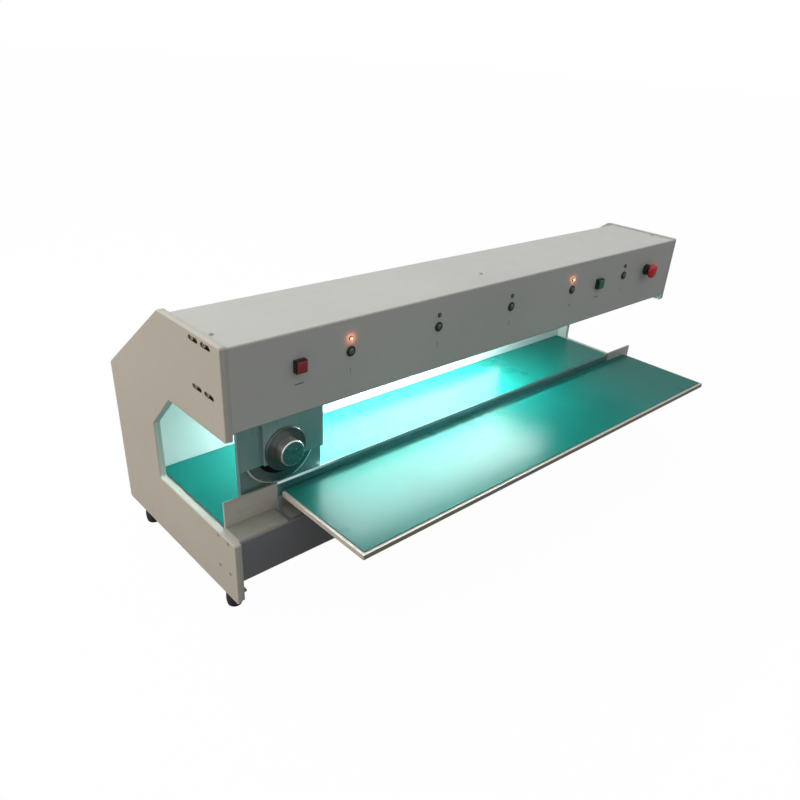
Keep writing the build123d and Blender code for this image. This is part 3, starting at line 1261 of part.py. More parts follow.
def emergency_stop():
    """Collar, plunger and mushroom head of the emergency stop."""
    end = ESTOP_BODY_LENGTH
    bore = ESTOP_STEM_R
    stem = bore + SHEET
    rim, face, slant = ESTOP_COLLAR_R, -ESTOP_COLLAR_T, ESTOP_EDGE_R
    flange = [(bore, face), (rim - slant, face), (rim, face + slant), (rim, 0)]
    barrel = [(stem, 0), (stem, end), (0, end), (0, end - SHEET), (bore, end - SHEET)]
    collar = turned(flange + barrel, ESTOP_X, CONTROL_Z, PANEL_FACE)
    sleeve_r = ESTOP_STEM_R - BUTTON_GAP
    sleeve_end = end - SHEET - ESTOP_TRAVEL - BUTTON_GAP
    head_back = ESTOP_HEAD_T - ESTOP_REACH
    shoulder = head_back + BUTTON_GAP
    pin_end = head_back - ESTOP_HEAD_T / 2
    pin = ESTOP_PLUNGER_R
    plunger = disc(pin, pin_end, shoulder, ESTOP_X, CONTROL_Z)
    plunger += disc(sleeve_r, shoulder, sleeve_end, ESTOP_X, CONTROL_Z)
    plunger = Pos(0, PANEL_FACE, 0) * plunger
    head = domed_pin(ESTOP_HEAD_R, head_back, ESTOP_HEAD_DOME - ESTOP_REACH, -ESTOP_REACH)
    rims = head.edges().filter_by(GeomType.CIRCLE).filter_by(lambda edge: edge.radius > ESTOP_COLLAR_R)
    head = fillet(rims, ESTOP_EDGE_R)
    head -= disc(pin + RUNNING_GAP, pin_end - BUTTON_GAP, head_back, 0, 0)
    head = Pos(ESTOP_X, PANEL_FACE, CONTROL_Z) * head
    return collar, plunger, head


# ---------------- Electrical parts ----------------
def power_inlet():
    """Flanged appliance inlet with its three blades, in the rear cover."""
    flange = RectangleRounded(INLET_FLANGE_WIDTH, INLET_FLANGE_HEIGHT, INLET_CORNER_R)
    inlet = extrude(Plane.XZ * flange, amount=-INLET_FLANGE_T)
    inlet += extrude(Plane.XZ * Rectangle(INLET_WIDTH, INLET_OPENING_HEIGHT), amount=INLET_DEPTH)
    mouth = Plane.XZ * Rectangle(INLET_WIDTH - 2 * INLET_WALL, INLET_OPENING_HEIGHT - 2 * INLET_WALL)
    inlet -= Pos(0, INLET_FLANGE_T, 0) * extrude(mouth, amount=INLET_DEPTH + INLET_FLANGE_T - INLET_WALL)
    pin = Box(*INLET_PIN_SIZE, align=(Align.CENTER, Align.MIN, Align.CENTER))
    for dx, dz in INLET_PIN_PLACES:
        inlet += Pos(dx, INLET_WALL - INLET_DEPTH, dz) * pin
    return Pos(RIGHT - INLET_FROM_RIGHT, REAR_FACE, PLATE_BOTTOM + INLET_HEIGHT) * inlet


def power_supply():
    """Enclosed supply with its terminal strip, on the base floor."""
    length, depth, height = SUPPLY_SIZE
    x1, y0 = LEFT + SUPPLY_X + length, REAR - REAR_PARTS_INSET - depth / 2
    z0, z1 = BASE_FLOOR + SHEET, BASE_FLOOR + SHEET + height
    strip, ledge = (x1 - TERMINAL_DEPTH, x1), z0 + height / 2
    box = block((x1 - length, x1), (y0, y0 + depth), (z0, z1))
    box -= block(strip, (y0 + TERMINAL_WALL, y0 + depth - TERMINAL_WALL), (ledge, z1))
    for index in range(TERMINAL_COUNT):
        y = y0 + depth * (index + 1) / (TERMINAL_COUNT + 1)
        box += block(strip, (y - TERMINAL_RIB / 2, y + TERMINAL_RIB / 2), (ledge, z1 - TERMINAL_WALL))
    return box


def control_board():
    """Controller board on four standoffs, with connectors and a heat sink."""
    length, depth, thickness = BOARD_SIZE
    x0, y0 = LEFT + BOARD_X, REAR - REAR_PARTS_INSET - depth / 2
    z0 = BASE_FLOOR + SHEET + STANDOFF_HEIGHT
    board = block((x0, x0 + length), (y0, y0 + depth), (z0, z0 + thickness))
    standoff = Cylinder(STANDOFF_R, STANDOFF_HEIGHT, align=HANGING)
    for x in (x0 + STANDOFF_INSET, x0 + length - STANDOFF_INSET):
        for y in (y0 + STANDOFF_INSET, y0 + depth - STANDOFF_INSET):
            board += Pos(x, y, z0) * standoff
    top = z0 + thickness
    for index in range(HEADER_COUNT):
        x = x0 + HEADER_START[0] + index * HEADER_PITCH
        board += Pos(x, y0 + HEADER_START[1], top) * Box(*HEADER_SIZE, align=CORNER)
    sink_x, sink_y, sink_t = SINK_SIZE
    sink = Pos(x0 + SINK_START[0], y0 + SINK_START[1], top)
    board += sink * Box(sink_x, sink_y, sink_t, align=CORNER)
    for index in range(FIN_COUNT):
        x = index * (sink_x - FIN_T) / (FIN_COUNT - 1)
        board += sink * Pos(x, 0, sink_t) * Box(FIN_T, sink_y, FIN_HEIGHT, align=CORNER)
    return board


# ---------------- Assembly ----------------
def make_frame():
    for node, part in (("side_cover", side_cover()), ("side_plate", side_plate())):
        left, right = both_sides(part)
        save(f"left_{node}", left)
        save(f"right_{node}", right)
    save("end_brackets", *end_brackets())
    save("feet", *feet())
    save("frame_screws", *beam_screws(), *base_screws(), *top_screws(), *holder_screws(), *motor_screws())
    save("base_housing", base_housing())
    save("base_floor", base_floor())
    save("inner_rear_wall", inner_rear_wall())
    save("work_mats", rear_mat(), front_table_mat())
    save("upper_cover", upper_cover())
    save("rear_cover", rear_cover())
    save("beam_floor", beam_floor())
    channel, diffuser = lamp()
    save("lamp_housing", channel)
    save("lamp_diffuser", diffuser)
    save("main_beam", main_beam())
    save("linear_rail", linear_rail())
    save("linear_blade", linear_blade())
    save("blade_holder", blade_holder())
    save("front_table", front_table())
    save("table_brackets", *table_brackets())
    save("power_inlet", power_inlet())
    save("power_supply", power_supply())
    save("control_board", control_board())
    save("position_sensors", *position_sensors())


def make_drive():
    save("drive_belt", drive_belt())
    idler_bracket = drive_bracket(IDLER_X, MOTOR_SHAFT_R - AXLE_STEP + RUNNING_GAP)
    save("drive_brackets", idler_bracket, idler_axle(), motor_bracket())
    save("drive_motor", drive_motor())
    save("idler_pulley", pulley(IDLER_X, MOTOR_SHAFT_R + RUNNING_GAP))
    save("drive_pulley", pulley(DRIVE_X, MOTOR_SHAFT_R), motor_shaft())


def make_carriage():
    save("carriage_top_plate", carriage_top_plate())
    save("carriage_front_plate", carriage_front_plate())
    save("bearing_block", bearing_block())
    save("carriage_back_plate", carriage_back_plate())
    save("carriage_screws", *carriage_screws())
    save("rail_blocks", *rail_blocks())
    save("dial_ring", dial_ring())
    save("spindle_bushes", *spindle_bushes())
    save("belt_clamp", *belt_clamp())
    save("sensor_flag", sensor_flag())
    save("adjusting_knob", adjusting_knob())
    save("eccentric_spindle", eccentric_spindle())
    save("upper_blade", upper_blade())
    save("blade_hub", blade_hub())
    save("blade_bearing", blade_bearing())
    save("blade_clamp_ring", clamp_ring(), *clamp_screws())


def make_controls():
    bezels = []
    lenses = {"lit": [], "unlit": []}
    for index, x in enumerate(button_places()):
        save(f"length_button_{index + 1}", button_cap(x))
        bezel, lens = indicator(x)
        bezels += [button_bezel(x), bezel]
        lenses[INDICATOR_STATES[index]].append(lens)
    save("panel_bezels", *bezels)
    for state, solids in lenses.items():
        save(f"indicator_lenses_{state}", *solids)
    power, start = switch_places()
    collar, plunger, head = emergency_stop()
    save("switch_housings", square_bezel(*power), square_bezel(*start), collar)
    save("power_switch_cap", square_cap(*power))
    save("start_button_cap", square_cap(*start))
    save("estop_plunger", plunger)
    save("estop_head", head)


os.makedirs("parts", exist_ok=True)
make_frame()
make_drive()
make_carriage()
make_controls()
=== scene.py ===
import json
import math

import bmesh
import bpy
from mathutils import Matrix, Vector

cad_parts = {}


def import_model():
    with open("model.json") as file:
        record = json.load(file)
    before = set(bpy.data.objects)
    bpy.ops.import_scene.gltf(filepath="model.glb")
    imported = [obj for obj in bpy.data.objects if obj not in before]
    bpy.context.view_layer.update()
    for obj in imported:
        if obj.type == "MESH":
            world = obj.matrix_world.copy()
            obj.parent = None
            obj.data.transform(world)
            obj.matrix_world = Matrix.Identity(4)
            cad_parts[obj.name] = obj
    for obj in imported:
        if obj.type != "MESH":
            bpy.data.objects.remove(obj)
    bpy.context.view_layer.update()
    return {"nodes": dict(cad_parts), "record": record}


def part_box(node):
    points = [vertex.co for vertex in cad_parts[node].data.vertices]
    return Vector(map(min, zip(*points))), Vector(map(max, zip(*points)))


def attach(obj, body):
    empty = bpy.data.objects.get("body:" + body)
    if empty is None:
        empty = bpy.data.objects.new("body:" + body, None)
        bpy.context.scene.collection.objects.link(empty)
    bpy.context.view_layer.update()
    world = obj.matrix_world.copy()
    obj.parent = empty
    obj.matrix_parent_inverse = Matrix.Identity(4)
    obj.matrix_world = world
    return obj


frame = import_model()
NODES = frame["nodes"]
JOINTS = {joint["name"]: joint for joint in frame["record"]["behaviour"]["joints"]}

# All lengths are in metres. Noise scales are in repeats per metre.

# ---------------------------------------------------------------- node trees
GRAIN_SCALE = 700.0          # fine paint texture
CLOUD_SCALE = 2.6            # slow change of tone over a panel
SMUDGE_SCALE = 22.0          # handling marks
STAIN_SCALE = 14.0           # dull patches on rolled metal
RING_SCALE = 420.0           # turned rings
PAINT_BUMP = 0.0004          # height of the paint's texture
NOISE_LOW, NOISE_HIGH = 0.3, 0.7       # most of a noise's values lie between these

MIX_FACTOR, MIX_A, MIX_B, MIX_RESULT = 0, 6, 7, 2          # colour sockets of a Mix node


class Tree:
    """A material's node tree, with one short call for each kind of node."""

    def __init__(self, name):
        self.material = bpy.data.materials.new(name)
        self.material.use_nodes = True
        self.nodes = self.material.node_tree.nodes
        self.links = self.material.node_tree.links
        self.shader = self.nodes["Principled BSDF"]
        self.output = self.nodes["Material Output"]
        self.place = self.add("ShaderNodeTexCoord").outputs["Object"]

    def add(self, kind, **settings):
        node = self.nodes.new(kind)
        for key, value in settings.items():
            setattr(node, key, value)
        return node

    def link(self, source, target):
        self.links.new(source, target)

    def set(self, **values):
        for key, value in values.items():
            self.shader.inputs[key.replace("_", " ")].default_value = value

    def stretched(self, scale):
        """Object coordinates scaled by axis, for grain that runs one way."""
        mapping = self.add("ShaderNodeMapping")
        mapping.inputs["Scale"].default_value = scale
        self.link(self.place, mapping.inputs["Vector"])
        return mapping.outputs["Vector"]

    def noise(self, scale, detail=3.0, rough=0.55, place=None):
        node = self.add("ShaderNodeTexNoise")
        node.inputs["Scale"].default_value = scale
        node.inputs["Detail"].default_value = detail
        node.inputs["Roughness"].default_value = rough
        self.link(place or self.place, node.inputs["Vector"])
        return node.outputs["Fac"]

    def span(self, value, low, high, to_low=0.0, to_high=1.0, smooth=False):
        node = self.add("ShaderNodeMapRange")
        node.interpolation_type = "SMOOTHSTEP" if smooth else "LINEAR"
        ends = {"From Min": low, "From Max": high, "To Min": to_low, "To Max": to_high}
        for key, number in ends.items():
            node.inputs[key].default_value = number
        self.link(value, node.inputs["Value"])
        return node.outputs["Result"]

    def maths(self, operation, a, b=0.0):
        node = self.add("ShaderNodeMath", operation=operation)
        for socket, value in zip(node.inputs, (a, b)):
            if isinstance(value, (int, float)):
                socket.default_value = value
            else:
                self.link(value, socket)
        return node.outputs["Value"]

    def mix(self, factor, a, b, blend="MIX"):
        node = self.add("ShaderNodeMix", data_type="RGBA", blend_type=blend)
        for index, value in ((MIX_FACTOR, factor), (MIX_A, a), (MIX_B, b)):
            socket = node.inputs[index]
            if isinstance(value, (int, float)):
                socket.default_value = value
            elif isinstance(value, tuple):
                socket.default_value = (*value, 1.0)
            else:
                self.link(value, socket)
        return node.outputs[MIX_RESULT]

    def axis(self, letter):
        node = self.add("ShaderNodeSeparateXYZ")
        self.link(self.place, node.inputs[0])
        return node.outputs[letter]

    def edges(self, radius, sharpness=0.35):
        """1 on a convex or concave edge, 0 on a flat face."""
        bevel = self.add("ShaderNodeBevel", samples=4)
        bevel.inputs["Radius"].default_value = radius
        geometry = self.add("ShaderNodeNewGeometry")
        dot = self.add("ShaderNodeVectorMath", operation="DOT_PRODUCT")
        self.link(bevel.outputs["Normal"], dot.inputs[0])
        self.link(geometry.outputs["Normal"], dot.inputs[1])
        return self.span(dot.outputs["Value"], 1.0, 1.0 - sharpness, smooth=True)

    def tones(self, value, colour, dark, light, low=NOISE_LOW, high=NOISE_HIGH):
        """The colour, from dark times itself where the value is low to light times itself."""
        return self.mix(self.span(value, low, high), times(colour, dark), times(colour, light))

    def stained(self, tone, value, low, high, share, stain):
        """The tone with up to that share of the stain where the value is high."""
        return self.mix(self.span(value, low, high, 0.0, share), tone, stain)

    def edged(self, tone, radius, share, worn):
        """The tone with that share of the worn one along every edge."""
        return self.mix(self.maths("MULTIPLY", self.edges(radius), share), tone, worn)

    def bump(self, height, strength, distance):
        node = self.add("ShaderNodeBump")
        node.inputs["Strength"].default_value = strength
        node.inputs["Distance"].default_value = distance
        self.link(height, node.inputs["Height"])
        self.link(node.outputs["Normal"], self.shader.inputs["Normal"])

    def rough(self, value, smooth, coarse, low=NOISE_LOW, high=NOISE_HIGH):
        """Roughness between smooth and coarse, by a noise value."""
        self.link(self.span(value, low, high, smooth, coarse), self.shader.inputs["Roughness"])

    def colour(self, value):
        self.link(value, self.shader.inputs["Base Color"])


def linear(red, green, blue):
    """A colour as a screen shows it (0-255) in the shader's linear values."""
    values = [c / 255 for c in (red, green, blue)]
    return tuple(c / 12.92 if c <= 0.04045 else ((c + 0.055) / 1.055) ** 2.4 for c in values)


def times(colour, factor):
    """A linear colour made lighter or darker."""
    return tuple(min(1.0, c * factor) for c in colour)


def painted(name, colour, roughness, grain, edge=1.25, edge_radius=0.0016, local_tone=None):
    """Powder-coated sheet: fine orange peel, slow clouds, faint handling marks and paler edges.

    The last argument, a function of (t, tone), changes the tone in one region of the piece, as
    with the painted shade in the side covers' slots.
    """
    t = Tree(name)
    smudges = t.noise(SMUDGE_SCALE, detail=5.0, rough=0.62)
    peel = t.noise(GRAIN_SCALE, detail=2.0)
    cloud = t.noise(CLOUD_SCALE, detail=2.0)
    tone = t.tones(cloud, colour, dark=0.955, light=1.03)
    tone = t.stained(tone, smudges, low=0.55, high=0.8, share=0.06, stain=times(colour, 0.72))
    tone = t.stained(tone, peel, low=0.35, high=0.65, share=0.10, stain=times(colour, 0.90))
    if edge:
        tone = t.edged(tone, edge_radius, share=0.7, worn=times(colour, edge))
    t.colour(local_tone(t, tone) if local_tone else tone)
    t.rough(smudges, roughness - 0.05, roughness + 0.07, high=0.75)
    t.bump(peel, strength=grain, distance=PAINT_BUMP)
    return t


def metal(name, colour, roughness, grain, streak, strength, metallic=1.0, toned=None):
    """Ground or rolled metal whose marks run along the axis with the smallest grain.

    toned(t, lines) gives the colour where it differs from place to place.
    """
    t = Tree(name)
    lines = t.noise(1.0, detail=4.0, rough=0.7, place=t.stretched(grain))
    if toned:
        tone = toned(t, lines)
    else:
        stains = t.noise(STAIN_SCALE, detail=4.0, rough=0.6)
        tone = t.tones(lines, colour, dark=1 - streak, light=1 + streak * 0.6)
        tone = t.stained(tone, stains, low=0.5, high=0.8, share=0.25, stain=times(colour, 0.7))
        tone = t.edged(tone, radius=0.0008, share=0.8, worn=times(colour, 1.35))
    t.colour(tone)
    t.rough(lines, roughness - 0.07, roughness + 0.1)
    t.bump(lines, strength, distance=0.0003)
    t.set(Metallic=metallic)
    return t


def radius_from(t, centre):
    """Distance from an axis along Y through centre."""
    across = t.maths("SUBTRACT", t.axis("X"), centre[0])
    up = t.maths("SUBTRACT", t.axis("Z"), centre[2])
    square = t.maths("ADD", t.maths("MULTIPLY", across, across), t.maths("MULTIPLY", up, up))
    return t.maths("SQRT", square)


def turned_metal(name, colour, centre, roughness, contrast=0.12, mask=None, masked=None):
    """Lathe-turned metal: uneven rings about an axis along Y, and masked where mask is 1."""
    t = Tree(name)
    radius = radius_from(t, centre)
    line = t.add("ShaderNodeCombineXYZ")
    t.link(radius, line.inputs[0])
    rings = t.noise(RING_SCALE, rough=0.6, place=line.outputs[0])
    stains = t.noise(90.0)
    tone = t.tones(rings, colour, dark=1 - contrast, light=1 + contrast)
    tone = t.stained(tone, stains, low=0.5, high=0.8, share=0.2, stain=times(colour, 0.7))
    if mask:
        tone = t.mix(mask(t, radius), tone, masked)
    t.colour(tone)
    t.rough(stains, roughness - 0.05, roughness + 0.08)
    t.bump(rings, strength=0.1, distance=0.0002)
    t.set(Metallic=1.0)
    return t


def plastic(name, colour, roughness, grain=0.1, edge=1.3):
    """Moulded plastic: faint wear, fine grain and edges of another tone."""
    t = Tree(name)
    worn = t.noise(60.0, detail=4.0, rough=0.6)
    tone = t.tones(worn, colour, dark=0.9, light=1.1, low=0.35, high=0.75)
    if edge:
        tone = t.edged(tone, radius=0.0006, share=0.6, worn=times(colour, edge))
    t.colour(tone)
    t.rough(worn, roughness - 0.05, roughness + 0.08)
    t.bump(t.noise(1400.0, detail=2.0), strength=grain, distance=0.0001)
    return t


def glowing(name, colour, glow, strength):
    """A lit lens or diffuser."""
    t = plastic(name, colour, roughness=0.25, grain=0.05, edge=None)
    speckle = t.noise(240.0, detail=2.0)
    t.link(t.tones(speckle, glow, dark=0.9, light=1.0), t.shader.inputs["Emission Color"])
    t.set(Emission_Strength=strength)
    return t


def rubber(name, colour):
    """Dull rubber with grit and patches of dust."""
    t = Tree(name)
    grit = t.noise(400.0, detail=4.0, rough=0.65)
    dust = t.noise(45.0)
    tone = t.tones(grit, colour, dark=0.7, light=1.3)
    t.colour(t.stained(tone, dust, low=0.5, high=0.8, share=0.2, stain=linear(90, 88, 84)))
    t.rough(dust, smooth=0.62, coarse=0.8)
    t.bump(grit, strength=0.3, distance=0.0004)
    return t


def dress(tree, *names):
    """Gives a material to CAD nodes."""
    for name in names:
        mesh = NODES[name].data
        mesh.materials.clear()
        mesh.materials.append(tree.material)


# ---------------------------------------------------------------- painted sheet and mats
CREAM = linear(190, 185, 173)
GREY_PAINT = linear(186, 187, 182)
PLATE_PAINT = linear(176, 179, 173)
DARK_PAINT = linear(118, 120, 123)
WALL_PAINT = linear(214, 218, 216)
MOTOR_PAINT = linear(44, 45, 48)
MAT_GREEN = linear(19, 112, 104)
MAT_PALE = linear(70, 160, 150)

# Painted shade: the walls inside the side covers' slots are painted near-black.
SLOT_PAINTED_SHADE = linear(34, 29, 25)
SLOT_FIELD_FRONT = 0.012     # the slots lie behind this, from the cover's front edge,
SLOT_FIELD_TOP = 0.012       # below this and above the next, both from its top
SLOT_FIELD_HEIGHT = 0.145
SLOT_SKIN = 0.0016, 0.0022   # the painted shade fades in between these depths under the outer face
FADE = 0.0005                # width of the fade at the field's borders

HEM_FADE = 0.0022, 0.0038    # the hem's tone ends between these heights above its lower edge
HEM_TONE = 0.55

BOARD_PALE = linear(196, 190, 178), linear(204, 198, 186)
# Painted shade: the board's front face is painted greyer than its top rim.
BOARD_FRONT_SHADE = linear(124, 119, 112), linear(138, 132, 124)
BOARD_FADE = 0.0004, 0.0012  # painted shade in front of the first, pale behind the second


def painted_slot_shade(t, tone):
    """The tone, and painted shade on the walls inside the side covers' adjusting slots.

    The field has no rear border, so the covers' sloping rear edge gets the painted shade in it
    too.
    """
    low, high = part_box("left_side_cover")
    outside, front, top = -low[0], low[1] + SLOT_FIELD_FRONT, high[2] - SLOT_FIELD_TOP
    bottom = high[2] - SLOT_FIELD_HEIGHT
    from_middle = t.maths("ABSOLUTE", t.axis("X"))
    inside = t.span(from_middle, outside - SLOT_SKIN[1], outside - SLOT_SKIN[0], 1.0, 0.0)
    behind = t.span(t.axis("Y"), front, front + FADE)
    below = t.span(t.axis("Z"), top - FADE, top, 1.0, 0.0)
    above = t.span(t.axis("Z"), bottom, bottom + FADE)
    across, up = t.maths("MULTIPLY", inside, behind), t.maths("MULTIPLY", below, above)
    return t.mix(t.maths("MULTIPLY", across, up), tone, SLOT_PAINTED_SHADE)


def dark_hem(t, tone):
    """The tone, and a darker line along the cover's lower edge."""
    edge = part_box("upper_cover")[0][2]
    mask = t.span(t.axis("Z"), edge + HEM_FADE[0], edge + HEM_FADE[1], HEM_TONE, 1.0)
    return t.mix(1.0, tone, mask, "MULTIPLY")


def board_paint():
    """Painted board whose front face carries painted shade, greyer than its top rim."""
    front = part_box("front_table")[0][1]
    t = Tree("board_edge")
    smudges = t.noise(SMUDGE_SCALE, detail=5.0, rough=0.62)
    where = t.span(smudges, NOISE_LOW, NOISE_HIGH)
    depth = t.span(t.axis("Y"), front + BOARD_FADE[0], front + BOARD_FADE[1])
    t.colour(t.mix(depth, t.mix(where, *BOARD_FRONT_SHADE), t.mix(where, *BOARD_PALE)))
    t.rough(smudges, smooth=0.45, coarse=0.57, high=0.75)
    t.bump(t.noise(GRAIN_SCALE, detail=2.0), strength=0.3, distance=PAINT_BUMP)
    return t


def mat_sheet():
    """Antistatic sheet: fine pebbling, slow clouds, barely seen wiping marks and a paler rim."""
    t = Tree("green_mat")
    cloud = t.noise(3.5)
    wiped = t.noise(1.0, detail=5.0, rough=0.6, place=t.stretched((3.0, 16.0, 16.0)))
    tone = t.tones(cloud, MAT_GREEN, dark=0.88, light=1.08)
    tone = t.stained(tone, wiped, low=0.55, high=0.8, share=0.02, stain=MAT_PALE)
    t.colour(t.edged(tone, radius=0.0014, share=0.6, worn=MAT_PALE))
    t.rough(cloud, smooth=0.27, coarse=0.30, low=0.35, high=0.75)
    t.bump(t.noise(520.0), strength=0.05, distance=0.0002)
    t.set(Specular_IOR_Level=0.06)
    return t


# The side covers carry painted shade inside their adjusting slots.
dress(painted("cream_paint", CREAM, roughness=0.45, grain=0.20, edge=1.12, edge_radius=0.0022,
              local_tone=painted_slot_shade), "left_side_cover", "right_side_cover")
dress(painted("plate_paint", PLATE_PAINT, roughness=0.45, grain=0.2, edge=1.1),
      "left_side_plate", "right_side_plate")
dress(painted("cover_paint", GREY_PAINT, roughness=0.42, grain=0.22, edge=1.10,
              edge_radius=0.0012), "rear_cover", "beam_floor")
dress(painted("upper_cover_paint", GREY_PAINT, roughness=0.42, grain=0.22, edge=1.10,
              edge_radius=0.0012, local_tone=dark_hem), "upper_cover")
dress(painted("base_paint", DARK_PAINT, roughness=0.32, grain=0.15, edge=1.1),
      "base_housing", "base_floor", "table_brackets")
dress(painted("wall_paint", WALL_PAINT, roughness=0.35, grain=0.12, edge=None), "inner_rear_wall")
dress(painted("motor_paint", MOTOR_PAINT, roughness=0.4, grain=0.3), "drive_motor")
dress(mat_sheet(), "work_mats")
dress(board_paint(), "front_table")

# ---------------------------------------------------------------- metals
# Painted shade: the brackets' upward-facing ledge gets the darker of these colours.
BRACKET_BRIGHT, BRACKET_LEDGE_SHADE = linear(196, 193, 184), linear(150, 150, 141)
# Painted reflection: the face's teal tint stands for the green mat mirrored in it. Painted
# highlight: the bright land colour below.
BAR_FACE, BAR_LAND = linear(126, 172, 176), linear(98, 114, 112)
BAR_HIGHLIGHT = linear(216, 236, 234)
LAND_HEIGHT = 0.005          # the ground land along the linear blade's top
HIGHLIGHT_START, HIGHLIGHT_END = -0.56, -0.44      # painted highlight: the land is painted bright beside the parked carriage
# Painted shade: the beam's ends, seen through the slots, are painted near-black.
BEAM_ALLOY, BEAM_END_SHADE = linear(186, 188, 190), linear(20, 20, 20)
BEAM_SKIN = 0.0004, 0.001    # the painted shade on the ends fades out between these depths


def bracket_tones(t, lines):
    """The end brackets' upward-facing ledge is painted darker than their upright leg, as painted
    shade.
    """
    geometry = t.add("ShaderNodeNewGeometry")
    facing = t.add("ShaderNodeSeparateXYZ")
    t.link(geometry.outputs["True Normal"], facing.inputs[0])
    upright = t.tones(lines, BRACKET_BRIGHT, dark=0.93, light=1.04)
    ledge = t.tones(lines, BRACKET_LEDGE_SHADE, dark=0.93, light=1.04)
    return t.mix(t.span(facing.outputs["Z"], 0.5, 0.9), upright, ledge)


def blade_bar_tones(t, lines):
    """The linear blade: a pale face tinted teal as a painted reflection of the green mat, and a
    darker land along its top with a painted highlight on part of it.
    """
    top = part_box("linear_blade")[1][2]
    land = t.mix(t.span(t.axis("X"), HIGHLIGHT_START, HIGHLIGHT_END), BAR_HIGHLIGHT, BAR_LAND)
    height = t.span(t.axis("Z"), top - LAND_HEIGHT, top - LAND_HEIGHT * 0.8)
    return t.mix(height, t.tones(lines, BAR_FACE, dark=0.86, light=1.08), land)


def beam_tones(t, lines):
    """Extruded alloy; the ends, seen through the side slots, are darkened with painted shade."""
    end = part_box("main_beam")[1][0]
    mask = t.span(t.maths("ABSOLUTE", t.axis("X")), end - BEAM_SKIN[1], end - BEAM_SKIN[0])
    return t.mix(mask, t.tones(lines, BEAM_ALLOY, dark=0.88, light=1.06), BEAM_END_SHADE)


dress(metal("bracket_steel", BRACKET_BRIGHT, roughness=0.45, grain=(7.0, 200.0, 200.0),
            streak=0.07, strength=0.08, metallic=0.3, toned=bracket_tones), "end_brackets")
# Painted reflection: the carriage's steel is tinted teal for the green mat mirrored in it.
dress(metal("carriage_steel", linear(150, 178, 177), roughness=0.34, grain=(200.0, 200.0, 8.0),
            streak=0.08, strength=0.08, metallic=0.8),
      "carriage_top_plate", "carriage_front_plate", "bearing_block")
dress(metal("holder_steel", linear(150, 150, 144), roughness=0.45, grain=(6.0, 200.0, 200.0),
            streak=0.08, strength=0.08, metallic=0.3), "blade_holder")
# Painted reflection: the back plate's teal tint stands for the green mat mirrored in it.
dress(metal("back_plate_steel", linear(128, 156, 156), roughness=0.38, grain=(200.0, 200.0, 8.0),
            streak=0.08, strength=0.08, metallic=0.75), "carriage_back_plate")
dress(metal("ground_steel", BAR_FACE, roughness=0.32, grain=(5.0, 320.0, 320.0),
            streak=0.14, strength=0.08, toned=blade_bar_tones), "linear_blade")
dress(metal("beam_alloy", BEAM_ALLOY, roughness=0.34, grain=(6.0, 240.0, 240.0),
            streak=0.12, strength=0.08, toned=beam_tones), "main_beam")
dress(metal("alloy", linear(190, 192, 194), roughness=0.34, grain=(6.0, 240.0, 240.0),
            streak=0.12, strength=0.08), "belt_clamp", "idler_pulley", "drive_pulley")
dress(metal("rail_steel", linear(160, 162, 164), roughness=0.25, grain=(5.0, 320.0, 320.0),
            streak=0.10, strength=0.06), "linear_rail", "rail_blocks")
dress(metal("zinc", linear(172, 162, 150), roughness=0.5, grain=(90.0, 90.0, 90.0),
            streak=0.08, strength=0.08, metallic=0.3), "frame_screws", "sensor_flag")
dress(metal("screw_black", linear(48, 50, 52), roughness=0.38, grain=(160.0, 160.0, 160.0),
            streak=0.2, strength=0.12, metallic=0.8), "carriage_screws")
dress(metal("supply_sheet", linear(170, 172, 174), roughness=0.36, grain=(20.0, 160.0, 160.0),
            streak=0.1, strength=0.06), "power_supply", "lamp_housing")
dress(metal("drive_bracket_steel", linear(120, 122, 120), roughness=0.45,
            grain=(90.0, 90.0, 90.0), streak=0.15, strength=0.1, metallic=0.7),
      "drive_brackets")
dress(metal("bezel_dark", linear(62, 68, 66), roughness=0.3, grain=(200.0, 200.0, 200.0),
            streak=0.1, strength=0.06), "panel_bezels")
button_names = sorted(name for name in NODES if name.startswith("length_button"))
dress(metal("button_steel", linear(112, 114, 112), roughness=0.3, grain=(220.0, 220.0, 220.0),
            streak=0.1, strength=0.08), *button_names)

# ---------------------------------------------------------------- turned metals
BLADE_AXIS = JOINTS["round_blade_spin"]["pos_m"]
KNOB_AXIS = JOINTS["blade_height_adjustment"]["pos_m"]
BLADE_RIM = 0.0032, 0.0035   # the inner border of the polished rim, painted near-white as a highlight, lies between these
KNOB_RIM = 0.0022, 0.0028    # the knob's pale rim likewise
KNOB_SKIN = 0.0003, 0.0006   # depth at which the knob's face ends


def blade_rim(t, radius):
    """The polished rim of the round blade, painted near-white as a highlight."""
    low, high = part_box("upper_blade")
    outer = (high[2] - low[2]) / 2
    return t.span(radius, outer - BLADE_RIM[1], outer - BLADE_RIM[0])


def knob_face_reflection(t, radius):
    """The flat face, which carries a painted reflection, darker and teal against the rim round
    it.
    """
    low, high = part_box("adjusting_knob")
    outer = (high[0] - low[0]) / 2
    front = t.span(t.axis("Y"), low[1] + KNOB_SKIN[0], low[1] + KNOB_SKIN[1], 1.0, 0.0)
    inside = t.span(radius, outer - KNOB_RIM[1], outer - KNOB_RIM[0], 1.0, 0.0)
    return t.maths("MULTIPLY", front, inside)


# Painted highlight: the round blade's rim is painted near-white.
dress(turned_metal("blade_steel", linear(112, 124, 124), BLADE_AXIS, roughness=0.3,
                   contrast=0.05, mask=blade_rim, masked=linear(236, 246, 246)), "upper_blade")
dress(turned_metal("bearing_steel", linear(170, 172, 174), BLADE_AXIS, roughness=0.2),
      "blade_bearing", "eccentric_spindle")
dress(turned_metal("blackened_steel", linear(30, 34, 36), BLADE_AXIS, roughness=0.4),
      "blade_hub", "blade_clamp_ring")
dress(turned_metal("dark_ring", linear(94, 102, 100), KNOB_AXIS, roughness=0.38, contrast=0.05),
      "dial_ring")
